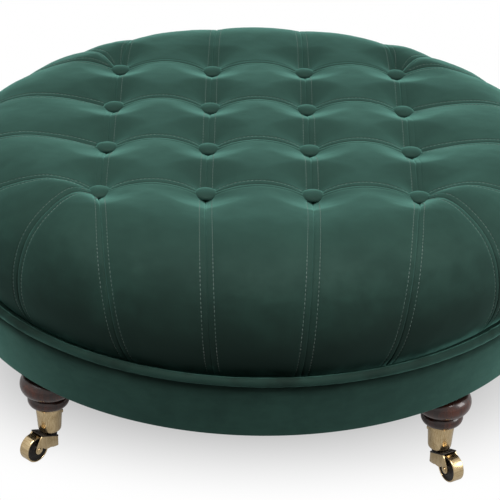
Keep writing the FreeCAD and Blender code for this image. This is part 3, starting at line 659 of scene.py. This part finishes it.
def close_below(made):
    """Turns the cushion's hem in and closes its underside."""
    hem = [edge for edge in made.edges if edge.is_boundary]
    inner = bmesh.ops.extrude_edge_only(made, edges=hem)["geom"]
    for vert in (item for item in inner if isinstance(item, bmesh.types.BMVert)):
        vert.co.x *= 0.93
        vert.co.y *= 0.93
    rim = [item for item in inner if isinstance(item, bmesh.types.BMEdge)]
    bmesh.ops.contextual_create(made, geom=rim)


def read_vectors(data, field):
    """One vector from each item of a mesh, as rows of an array."""
    values = np.zeros(len(data) * 3, np.float32)
    data.foreach_get(field, values)
    return values.reshape(-1, 3).astype(float)


def make_cushion():
    """The whole cushion as one closed mesh, with its seams sunk and its cloth a little uneven."""
    points, faces, away = [], [], []
    count = 0
    for _, patch, distance in cushion_patches():
        rows, columns = patch.shape[:2]
        points.append(patch.reshape(-1, 3))
        away.append(distance.reshape(-1))
        faces.extend(grid_faces(rows, columns, count))
        count += rows * columns
    mesh = bpy.data.meshes.new("velvet_cushion")
    mesh.from_pydata((np.concatenate(points) * MM).tolist(), [], faces)
    stored = mesh.attributes.new("away", "FLOAT", "POINT")
    stored.data.foreach_set("value", np.concatenate(away).astype(np.float32))
    made = bmesh.new()
    made.from_mesh(mesh)
    bmesh.ops.remove_doubles(made, verts=made.verts, dist=MERGE * MM)
    close_below(made)
    bmesh.ops.recalc_face_normals(made, faces=made.faces)
    made.to_mesh(mesh)
    made.free()
    mesh.polygons.foreach_set("use_smooth", [True] * len(mesh.polygons))
    rest = read_vectors(mesh.vertices, "co") / MM
    normals = read_vectors(mesh.vertex_normals, "vector")
    away = np.zeros(len(mesh.vertices), np.float32)
    mesh.attributes["away"].data.foreach_get("value", away)
    middle = np.clip((away - 6) / 30, 0, 1)
    relief = seam_relief(away)
    relief += middle * ripple(rest, 85, 2.0, 1) + (0.3 + 0.7 * middle) * ripple(rest, 26, 0.5, 2)
    relief += ripple(rest, 9, 0.16, 3)
    relief[rest[:, 2] < CUSHION_LOW + 2] = 0
    moved = rest + normals * relief[:, None]
    mesh.vertices.foreach_set("co", (moved * MM).astype(np.float32).ravel())
    mesh.attributes.remove(mesh.attributes["away"])
    mesh.update()
    cushion = ride_as_piece(mesh, VELVET, "stool", ("velvet_cover", "foam_block"))


def stitch_shape():
    """One stitch: a small thread pad, pinched where it enters the cloth."""
    rings = []
    for share in np.linspace(-1, 1, 7):
        rise = 0.36 * (1 - share ** 2) - 0.2
        half = 0.12 + 0.26 * math.sqrt(max(0.0, 1 - share ** 4))
        for turn in np.radians(np.arange(0, 360, 60)):
            rings.append((1.9 * share, half * math.cos(turn), rise + 0.75 * half * math.sin(turn)))
    faces = grid_faces(7, 6, closed_columns=True)
    faces += [tuple(range(6)), tuple(range(36, 42))]
    return np.array(rings), faces


# Stitches: run from one to the next, depth in the cloth, and distance kept from a button.
STITCH = stitch_shape()
STITCH_PITCH = 5.5
STITCH_SINK = 0.42
STITCH_CLEAR = 17.0


def at_run(at, run, values):
    """Row of values at this distance along the run."""
    return np.array([np.interp(at, run, values[:, axis]) for axis in range(3)])


def sew(threads, line, outward):
    """Stitches along a line of points, clear of the buttons, facing the outward directions given."""
    run = run_along(line)
    for at in np.arange(STITCH_PITCH, run[-1] - 2, STITCH_PITCH):
        spot = at_run(at, run, line)
        if np.linalg.norm(off_button(spot[None])) < STITCH_CLEAR:
            continue
        ahead = at_run(at + 1, run, line) - spot
        ahead /= np.linalg.norm(ahead)
        up = at_run(at, run, outward)
        up -= ahead * (up @ ahead)
        up /= np.linalg.norm(up)
        threads.add(STITCH[0] @ np.array([ahead, np.cross(up, ahead), up]) + spot, STITCH[1])


def outward_of(patch):
    """Outward directions of a grid of points."""
    out = np.cross(np.gradient(patch, axis=1), np.gradient(patch, axis=0))
    out /= np.maximum(np.linalg.norm(out, axis=2, keepdims=True), 1e-9)
    inside = np.array([0, 0, CROWN - 150])
    return out * np.sign((out * (patch - inside)).sum(axis=2, keepdims=True))


def make_topstitching():
    """A row of stitches on each side of every seam, and one behind every crease between buttons."""
    threads = Parts()
    line = SEAM_STEPS.index(STITCH_LINE)
    ends = {"pillow": (4, -4), "panel": (3, -2), "corner": (12, -2)}
    for kind, patch, _ in cushion_patches():
        first, last = ends[kind]
        out = outward_of(patch)
        sunk = patch - STITCH_SINK * out
        for column in (line, -1 - line):
            sew(threads, sunk[first:last, column], out[first:last, column])
        if kind == "pillow":
            sew(threads, sunk[line, first:last], out[line, first:last])
    threads.piece("topstitching", THREAD, "velvet")


# The buttons sit this far above their solids, so that their whole edge shows.
BUTTON_LIFT = 1.6


def make_buttons():
    """Covered buttons: velvet drawn over a domed shell and gathered under its edge."""
    parts = Parts()
    profile = [(TIP, -1.2), (9.0, -1.3), (13.2, -0.9), (14.6, 0.1), (15.3, 1.3), (15.5, 2.4), (15.2, 3.5),
               (14.3, 4.7), (12.6, 5.8), (10.2, 6.7), (7.2, 7.4), (3.8, 7.85), (TIP, 8.0)]
    points, faces = turned(profile, 72)
    for index, (x, y) in enumerate(BUTTONS):
        shape = points.copy()
        turns = np.arctan2(shape[:, 1], shape[:, 0])
        radius = np.hypot(shape[:, 0], shape[:, 1])
        gather = np.clip((3.0 - shape[:, 2]) / 3.0, 0, 1) * np.clip(radius / 15, 0, 1)
        pleat = 0.35 * gather * np.sin(22 * turns + index)
        shape[:, 0] += pleat * np.cos(turns)
        shape[:, 1] += pleat * np.sin(turns)
        shape[:, 2] += ripple(shape + (x, y, 0), 11, 0.3, 4) * np.clip(shape[:, 2] / 6, 0, 1)
        lean, way = rng.uniform(0, 3.0), rng.uniform(0, 360)
        tilt = np.array(Matrix.Rotation(math.radians(lean), 3, Vector((*on_circle(1, way), 0))))
        parts.add(shape @ tilt.T + (x, y, SEAT + BUTTON_LIFT), faces)
    parts.piece("velvet_buttons", VELVET, "velvet", replaces=("covered_buttons",))


PIPING_CIRCLE = 433.0
PIPING_RADIUS = 6.0

# Plan angle of the back, where the piping and the band are joined, in radians.
BACK = math.pi / 2


def make_piping():
    """Velvet-covered cord round the waist, slightly puckered, with its join at the back."""
    sides, around = 900, 18
    turns = np.linspace(0, 2 * math.pi, sides, endpoint=False)
    ways = np.linspace(0, 2 * math.pi, around, endpoint=False)
    turn, way = np.meshgrid(turns, ways, indexing="ij")
    run = turn * PIPING_CIRCLE
    patches = 0.5 + 0.5 * np.sin(run / 41 + np.sin(run / 17))
    pucker = 0.16 * np.sin(run / 3.1 + 1.6 * np.cos(way)) * patches
    soft = 0.15 * np.sin(run / 57 + 2 * way) * np.sin(run / 23)
    join = 0.7 * np.exp(-((run - PIPING_CIRCLE * BACK) / 3.0) ** 2)
    radius = PIPING_RADIUS + pucker + soft - join
    reach = PIPING_CIRCLE + radius * np.cos(way)
    height = BAND_TOP + PIPING_RADIUS + radius * np.sin(way)
    points = np.stack([reach * np.cos(turn), reach * np.sin(turn), height], axis=2)
    parts = Parts()
    parts.add(points.reshape(-1, 3), grid_faces(sides, around, closed_rows=True, closed_columns=True))
    low, high = BAND_TOP + 0.1, BAND_TOP + 1.4
    parts.add(*ring_turned([(430, low), (403, low), (403, high), (430, high)], 180))
    parts.piece("velvet_piping", VELVET, "velvet", replaces=("piping",))


BAND_CIRCLE = 430.0
BAND_FOOT = 427.0
BAND_FLARE = 6.0


def band_section():
    """Section of the band: rolled hem, padded face, tucked top, and the lining inside."""
    height = BAND_TOP - BAND_LOW
    section = [(406, BAND_LOW + 0.2), (420, BAND_LOW - 0.1), (424.6, BAND_LOW - 0.2)]
    section += arc((424.9, BAND_LOW + 2.2), 2.4, -80, 0, 6)
    for share in np.linspace(0.06, 0.97, 20):
        swell = 0.9 * math.sin(math.pi * min(1, share * 1.02)) ** 0.7
        tuck = 1.2 * max(0, share - 0.86) / 0.11
        section.append((BAND_FOOT + BAND_FLARE * share + swell - tuck, BAND_LOW + height * share))
    section += [(430.5, BAND_TOP - 0.4), (426, BAND_TOP), (425.6, BAND_TOP - 1.2), (430.6, BAND_TOP - 2.2)]
    section += [(424.9, BAND_LOW + 3), (421, BAND_LOW + 1.2), (406, BAND_LOW + 1.2)]
    return section


def make_band():
    """Velvet band over a thin pad, rolled under at its lower edge and tucked in at its top."""
    points, faces = ring_turned(band_section(), 540)
    turns = np.arctan2(points[:, 1], points[:, 0])
    radius = np.hypot(points[:, 0], points[:, 1])
    above_hem = np.clip((points[:, 2] - BAND_LOW) / 10, 0.15, 1)
    outside = np.clip((radius - 424) / 3, 0, 1) * above_hem
    run = turns * BAND_CIRCLE
    wave = 0.5 * np.sin(run / 71 + 1.3 * np.sin(run / 190)) * np.sin(run / 127 + 0.8)
    near_top = np.exp(-((BAND_TOP - points[:, 2]) / 12) ** 2)
    gathers = 0.25 * np.sin(run / 5.2 + 2 * np.sin(run / 37)) * near_top
    join = -1.3 * np.exp(-((run - BAND_CIRCLE * BACK) / 1.6) ** 2)
    reach = radius + outside * (wave + gathers + join)
    points[:, 0], points[:, 1] = reach * np.cos(turns), reach * np.sin(turns)
    piece("velvet_band", points, faces, VELVET, "velvet", replaces=("plinth_band",))


CLOTH_RADIUS = 422.0
LEG_HOLE = 33.6


def make_dust_cloth():
    """Black cambric stretched under the base and cut out round the legs."""
    places = [Vector(on_circle(CLOTH_RADIUS, turn)) for turn in range(0, 360, 3)]
    loops = [list(range(len(places)))]
    for x, y in LEG_SPOTS.values():
        ring = [Vector((x + a, y + b)) for a, b in (on_circle(LEG_HOLE, turn) for turn in range(360, 0, -10))]
        kept = [place for place in ring if place.length < CLOTH_RADIUS - 1]
        loops.append(list(range(len(places), len(places) + len(kept))))
        places += kept
    for x in np.arange(-410, 411, 14):
        for y in np.arange(-410, 411, 14):
            spot = Vector((x + 3 * math.sin(y), y + 3 * math.sin(x)))
            if spot.length < CLOTH_RADIUS - 8 and leg_gap(*spot) > 40:
                places.append(spot)
    flat, _, faces, *_ = geometry.delaunay_2d_cdt(places, [], loops, 2, 0.01)
    out = np.array([min(1.0, spot.length / CLOTH_RADIUS) for spot in flat])
    sag = 3.2 * (1 - out ** 2)
    points = np.column_stack([[tuple(spot) for spot in flat], BAND_LOW + 0.55 - sag])
    held = (np.hypot(points[:, 0], points[:, 1]) / 424) ** 4
    points[:, 2] += ripple(points, 70, 0.8, 6) * (1 - held)
    cloth = piece("dust_cloth_cambric", points, [tuple(face) for face in faces], CAMBRIC, "cambric",
                  replaces=("dust_cloth",))


def make_staples():
    """Upholsterer's staples round the edge of the cambric."""
    parts = Parts()
    wire = [(-5, -0.4), (5, -0.4), (5, 0.4), (-5, 0.4)]
    for turn in np.arange(2, 360, 5.0):
        x, y = on_circle(CLOTH_RADIUS - 8, turn)
        if leg_gap(x, y) < 44:
            continue
        shape = []
        for height, shrink in ((BAND_LOW + 1.2, 1.0), (BAND_LOW - 0.1, 1.0), (BAND_LOW - 0.5, 0.93)):
            shape += [(a * shrink, b * shrink, height) for a, b in wire]
        faces = grid_faces(3, 4, closed_columns=True) + [(0, 1, 2, 3), (8, 9, 10, 11)]
        parts.add(turned_about(shape, turn + 90 + rng.uniform(-9, 9), (x, y, 0)), faces)
    parts.piece("cambric_staples", STEEL, "steel", smooth=False)


# Legs and castors.

# Levels at which a leg's lower ring, its upper ring and its cove begin.
SMALL_RING = CUP_HIGH + 2
BIG_RING = SMALL_RING + 18.2
COVE = BIG_RING + 30.3


def leg_profile():
    """Outline of a leg: tapered foot, two rings with a quirk between them, and a cove."""
    profile = [(TIP, CUP_HIGH - 24), (14.4, CUP_HIGH - 24), (16.5, CUP_HIGH), (17.6, CUP_HIGH + 0.8),
               (19.6, CUP_HIGH + 1.4), (20.6, SMALL_RING)]
    for turn in np.radians(np.linspace(-84, 84, 25)):
        profile.append((21.0 + 7.6 * math.cos(turn) ** 0.95, SMALL_RING + 8.8 + 8.8 * math.sin(turn)))
    profile += [(21.3, SMALL_RING + 17.8), (22.4, SMALL_RING + 18.3)]
    for turn in np.radians(np.linspace(-82, 82, 33)):
        profile.append((24.0 + 14.0 * math.cos(turn) ** 0.95, BIG_RING + 15.1 + 14.9 * math.sin(turn)))
    profile += [(26.2, COVE), (26.0, COVE + 1.2)]
    for share in np.linspace(0.15, 1, 9):
        profile.append((26.0 + 7.0 * share ** 2.2, COVE + 1.2 + (LEG_HIGH - COVE - 1.2) * share))
    return profile + [(TIP, LEG_HIGH)]


def make_legs():
    """Four turned mahogany legs, each point marked with how hollow it lies, for the painted shade of their
    hollows.
    """
    points, faces = turned(leg_profile(), 96)
    parts = Parts()
    for name, (leg_angle, _) in CASTORS.items():
        parts.add(turned_about(points, leg_angle, (*LEG_SPOTS[name], 0)), faces)
    legs = parts.piece("mahogany_legs", MAHOGANY, "mahogany", replaces=("turned_legs",))
    # How far in from the leg's crests each point lies sets how much painted shade it gets.
    crest_levels = [CUP_HIGH, SMALL_RING, SMALL_RING + 3, SMALL_RING + 12, SMALL_RING + 15.4, BIG_RING + 4,
                    BIG_RING + 16.4, BIG_RING + 28, COVE, LEG_HIGH]
    crests = [21, 23, 27, 27, 30, 33, 40, 37, 36, 36]
    hollows = []
    for x, y, height in (tuple(vert.co / MM) for vert in legs.data.vertices):
        crest = np.interp(height, crest_levels, crests)
        hollows.append(min(1.0, max(0.0, (crest - leg_gap(x, y)) / 8)))
    legs.data.attributes.new("hollow", "FLOAT", "POINT").data.foreach_set("value", hollows)


def make_cups():
    """Brass cups with a turned-in foot and a rolled rim, each held by two screws on its inner side."""
    parts = Parts()
    foot = [(4.2, 0.6), (4.6, 0), (11.0, 0), (13.4, 0.2), (14.8, 0.9), (15.5, 2.0), (15.9, 3.6), (16.1, 6.0),
            (16.5, 12), (17.0, 20)]
    rim = [(17.8, -9), (18.2, -3.6), (18.0, -3.2), (18.35, -2.6), (18.8, -1.8), (18.85, -0.9), (18.5, -0.2),
           (17.9, 0), (17.3, -0.2), (16.95, -1.0)]
    inside = [(15.4, 20), (14.2, 13), (4.2, 12)]
    profile = [(radius, CUP_LOW + height) for radius, height in foot]
    profile += [(radius, CUP_HIGH + height) for radius, height in rim]
    profile += [(radius, CUP_LOW + height) for radius, height in inside]
    points, faces = ring_turned(profile, 96)
    screw = [(TIP, -1.0), (2.7, -1.0), (2.9, -0.2), (2.5, 0.5), (1.6, 1.0), (0.6, 1.15), (TIP, 1.2)]
    head, head_faces = turned(screw, 24)
    slot = (np.abs(head[:, 0]) < 0.45) & (head[:, 2] > 0)
    head[slot, 2] -= 0.55
    sideways = np.stack([head[:, 2], head[:, 1], -head[:, 0]], axis=1) + (17.9, 0, CUP_HIGH - 11)
    for name, (leg_angle, _) in CASTORS.items():
        place = (*LEG_SPOTS[name], 0)
        parts.add(turned_about(points, leg_angle, place), faces)
        for side in (-38, 38):
            parts.add(turned_about(sideways, leg_angle + 180 + side, place), head_faces)
    parts.piece("brass_cups", BRASS, "brass", replaces=("castor_cups",))


# Castors, drawn with the swivel pin on the upright axis and the wheel trailing along X.
WEB_AT_PIN = CUP_LOW - 6.4
WEB_SLOPE = 0.42
NOSE = 20.0
FORK_HALF = 11.0
ARM_THICKNESS = 2.2
WHEEL_HALF = 8.2


def web_top(reach):
    """Level of the fork's sloped web at this reach from the pin."""
    return WEB_AT_PIN + WEB_SLOPE * reach


def slab(outline, low, high, bevel=0.4):
    """A plate with softened edges: an outline in the fork's upright plane, between two sides."""
    outline = np.asarray(outline, float)
    ahead = np.roll(outline, -1, axis=0) - outline
    behind = outline - np.roll(outline, 1, axis=0)
    ahead /= np.linalg.norm(ahead, axis=1, keepdims=True)
    behind /= np.linalg.norm(behind, axis=1, keepdims=True)
    inward = np.stack([-(ahead + behind)[:, 1], (ahead + behind)[:, 0]], axis=1)
    inward /= np.maximum(np.linalg.norm(inward, axis=1, keepdims=True), 1e-6)
    x, y = outline.T
    twice_area = (x * np.roll(y, -1) - np.roll(x, -1) * y).sum()
    inward *= 1 if twice_area > 0 else -1
    rings = []
    for side, inset in ((low, bevel), (low + 0.3 * bevel, 0.3 * bevel), (low + bevel, 0),
                        (high - bevel, 0), (high - 0.3 * bevel, 0.3 * bevel), (high, bevel)):
        ring = outline + inward * inset
        rings.append(np.stack([ring[:, 0], np.full(len(ring), side), ring[:, 1]], axis=1))
    count = len(outline)
    faces = grid_faces(6, count, closed_columns=True)
    faces.append(tuple(range(count)))
    faces.append(tuple(range(5 * count, 6 * count)))
    return np.concatenate(rings), faces


def arm_outline():
    """Side outline of a fork arm: deep behind the pin, swept down to a round eye."""
    back = -5.0
    foot = web_top(back) - 17.0
    outline = [(back + 1.0, foot + 0.3), (back, foot + 1.4), (back, web_top(back) - 1.2),
               (back + 1.0, web_top(back + 1) - 0.1)]
    outline += [(reach, web_top(reach) - 0.1) for reach in np.linspace(0, NOSE + 1.5, 6)]
    outline += [(NOSE + 4.2, 37.4), (NOSE + 6.8, 35.0), (NOSE + 9.6, 31.4), (NOSE + 12.2, 27.2),
                (NOSE + 14.2, 23.2)]
    outline += arc((WHEEL_OFFSET, WHEEL_RADIUS), 6.0, 10, -190, 16)
    outline += [(20.6, 17.6), (17.0, 15.4), (13.0, 14.4), (8.5, foot + 3.4), (4.0, foot + 1.6)]
    return outline


def web_outline():
    """Side outline of the web, with a lip past its nose."""
    back, front = -5.4, web_top(NOSE)
    return [(back, web_top(back) - 1.9), (NOSE + 2.0, front - 0.9), (NOSE + 4.0, front + 0.2),
            (NOSE + 3.2, front + 1.6), (back, web_top(back) + 0.35)]


def horn_profile():
    """Outline of the horn that turns round the swivel pin."""
    rises = [(TIP, -2.6), (9.6, -2.6), (10.2, 1.0), (9.9, 3.0), (9.0, 3.9), (8.9, 5.2), (8.4, 5.9),
             (TIP, 6.0)]
    return [(radius, WEB_AT_PIN + rise) for radius, rise in rises]


def tread_section():
    """Section of the wheel's brass tread, with rounded edges."""
    edge = 1.4
    middle = WHEEL_RADIUS - edge
    section = [(16.9, -WHEEL_HALF + 0.9), (17.1, -WHEEL_HALF + 0.25)]
    section += arc((middle, -WHEEL_HALF + edge), edge, -90, 0, 6)[1:]
    section += arc((middle, WHEEL_HALF - edge), edge, 0, 90, 6)[:-1]
    section += [(17.1, WHEEL_HALF - 0.25), (16.9, WHEEL_HALF - 0.9)]
    return section


def core_section():
    """Section of the wheel's dark core: hub, recessed face and the shoulder under the tread."""
    steps = [(2.6, 0.1), (5.2, 0.1), (5.8, 0.6), (6.2, 2.0), (15.2, 2.2), (16.6, 1.2), (17.0, 1.0)]
    near = [(radius, -WHEEL_HALF + inset) for radius, inset in steps]
    far = [(radius, WHEEL_HALF - inset) for radius, inset in reversed(steps)]
    return near + far


def on_axle(shape, side=1, offset=0.0):
    """A turned shape laid along the axle at the wheel's place, facing one side."""
    points, faces = shape
    x, y, z = points.T
    return np.stack([x + WHEEL_OFFSET, side * z + offset, y + WHEEL_RADIUS], axis=1), faces


def make_castor(name, trail_angle):
    """Fork, horn, rivet and wheel of one castor."""
    centre = (*LEG_SPOTS[name], 0)

    def add(label, shapes, material, slot, body, replaces=()):
        parts = Parts()
        for points, faces in shapes:
            parts.add(turned_about(points, trail_angle, centre), faces)
        parts.piece(f"{label}_{name}", material, slot, body=f"{body}_{name}", replaces=replaces)

    inside = FORK_HALF - ARM_THICKNESS
    arms = [slab(arm_outline(), low, low + ARM_THICKNESS) for low in (-FORK_HALF, inside)]
    add("fork_arms", arms, BRASS, "brass", "castor", (f"castor_fork_{name}",))
    web = slab(web_outline(), -FORK_HALF - 0.15, FORK_HALF + 0.15, 0.5)
    add("swivel_horn", [web, turned(horn_profile(), 64)], BLACK, "steel", "castor")
    head = turned([(TIP, 0.0), (3.3, 0.0), (3.5, 0.5), (3.1, 1.1), (2.4, 1.35), (1.7, 1.15), (1.1, 0.75),
                   (TIP, 0.6)], 40)
    shank = turned([(TIP, -FORK_HALF), (2.4, -FORK_HALF), (2.4, FORK_HALF), (TIP, FORK_HALF)], 32)
    rivet = [on_axle(head, side, side * FORK_HALF) for side in (-1, 1)] + [on_axle(shank)]
    add("axle_rivet", rivet, BRASS, "brass", "castor", (f"castor_axle_{name}",))
    tread = on_axle(ring_turned(tread_section(), 96))
    add("wheel_tread", [tread], TREAD_BRASS, "brass", "wheel", (f"castor_wheel_{name}",))
    core = on_axle(ring_turned(core_section(), 96))
    add("wheel_core", [core], BLACK, "steel", "wheel")


def dress_hidden_pieces():
    """Finishes of the solids that stay as they are."""
    finishes = {"rim_hoop": PLYWOOD, "deck_board": PLYWOOD, "cross_rails": TIMBER, "leg_blocks": TIMBER,
                "leg_bolts": STEEL, "button_twines": TWINE, "twine_toggles": TIMBER}
    finishes.update({f"castor_pin_{name}": STEEL for name in CASTORS})
    for node, material in finishes.items():
        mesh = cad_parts[node].data
        mesh.materials.clear()
        mesh.materials.append(material)


make_cushion()
make_topstitching()
make_buttons()
make_piping()
make_band()
make_dust_cloth()
make_staples()
make_legs()
make_cups()
for castor, (_, trailing) in CASTORS.items():
    make_castor(castor, trailing)
dress_hidden_pieces()


# Studio: pale floor, soft lamps and the camera.

def make_floor():
    """A pale floor that keeps the shadow under the stool and fades to white round it."""
    floor = Finish("pale_floor", Base_Color=(0.22, 0.22, 0.22, 1), Roughness=0.9, Specular_IOR_Level=0.0)
    place = floor.node("ShaderNodeNewGeometry")
    wide = floor.node("ShaderNodeVectorMath", {"operation": "MULTIPLY"}, {0: place, 1: (0.62, 1.0, 0.0)})
    out = floor.node("ShaderNodeVectorMath", {"operation": "LENGTH"}, {0: wide}, 1)
    camera_ray = floor.node("ShaderNodeLightPath", output=0)
    glossy_ray = floor.node("ShaderNodeLightPath", output=3)
    glow = floor.node("ShaderNodeEmission", None, {"Color": (1, 1, 1, 1), "Strength": 1.0})
    floor.cover(out.step(0.1, 0.4, 0.3, 1.0) * (camera_ray + glossy_ray * 0.5), glow)
    mesh = bpy.data.meshes.new("floor")
    points, faces = turned([(TIP, 0), (600, 0), (1500, 0), (6000, 0)], 96)
    mesh.from_pydata((points * MM).tolist(), [], faces[:-1])
    mesh.materials.append(floor.material)
    thing = bpy.data.objects.new("studio_floor", mesh)
    bpy.context.scene.collection.objects.link(thing)


def make_lamp(name, place, aim, size, power):
    """A soft rectangular lamp, in metres and watts."""
    lamp = bpy.data.lights.new(name, "AREA")
    lamp.shape = "RECTANGLE"
    lamp.size, lamp.size_y = size
    lamp.energy = power
    thing = bpy.data.objects.new(name, lamp)
    thing.location = place
    thing.rotation_euler = (Vector(aim) - Vector(place)).to_track_quat("-Z", "Y").to_euler()
    bpy.context.scene.collection.objects.link(thing)


def make_world():
    """White behind the stool and in reflections, and dim as a light."""
    world = bpy.data.worlds.new("studio")
    bpy.context.scene.world = world
    world.use_nodes = True
    tree = world.node_tree
    rays = tree.nodes.new("ShaderNodeLightPath")
    seen = rays.outputs["Is Camera Ray"]
    for kind in ("Is Glossy Ray", "Is Transmission Ray"):
        either = tree.nodes.new("ShaderNodeMath")
        either.operation = "MAXIMUM"
        tree.links.new(seen, either.inputs[0])
        tree.links.new(rays.outputs[kind], either.inputs[1])
        seen = either.outputs[0]
    strength = tree.nodes.new("ShaderNodeMapRange")
    strength.inputs["To Min"].default_value = 0.05
    strength.inputs["To Max"].default_value = 1.0
    tree.links.new(seen, strength.inputs["Value"])
    back = tree.nodes["Background"]
    back.inputs["Color"].default_value = (1, 1, 1, 1)
    tree.links.new(strength.outputs[0], back.inputs["Strength"])


def make_camera():
    """The camera, from its place and its axes in the world, in metres."""
    camera = bpy.data.cameras.new("camera")
    camera.lens = 124.994
    camera.sensor_width = 36.0
    thing = bpy.data.objects.new("camera", camera)
    right = (0.99983652, 0.00100333, 0.01805339)
    up = (-0.01639208, 0.47168336, 0.88161562)
    back = (-0.00763094, -0.88176743, 0.4716227)
    turn = Matrix((right, up, back)).transposed().to_4x4()
    thing.matrix_world = Matrix.Translation((-0.02851073, -2.24994076, 1.37807263)) @ turn
    bpy.context.scene.collection.objects.link(thing)
    bpy.context.scene.camera = thing


make_floor()
make_lamp("overhead_softbox", (0.0, -1.05, 2.2), (0, 0, 0.3), (2.4, 1.0), 112)
make_lamp("key_softbox", (2.1, -0.6, 1.2), (0.1, 0, 0.25), (1.0, 1.0), 29)
make_lamp("fill_softbox", (-1.3, -0.7, 2.2), (0, 0, 0.4), (1.2, 1.2), 7)
make_world()
make_camera()

bpy.context.scene.view_settings.view_transform = "Standard"
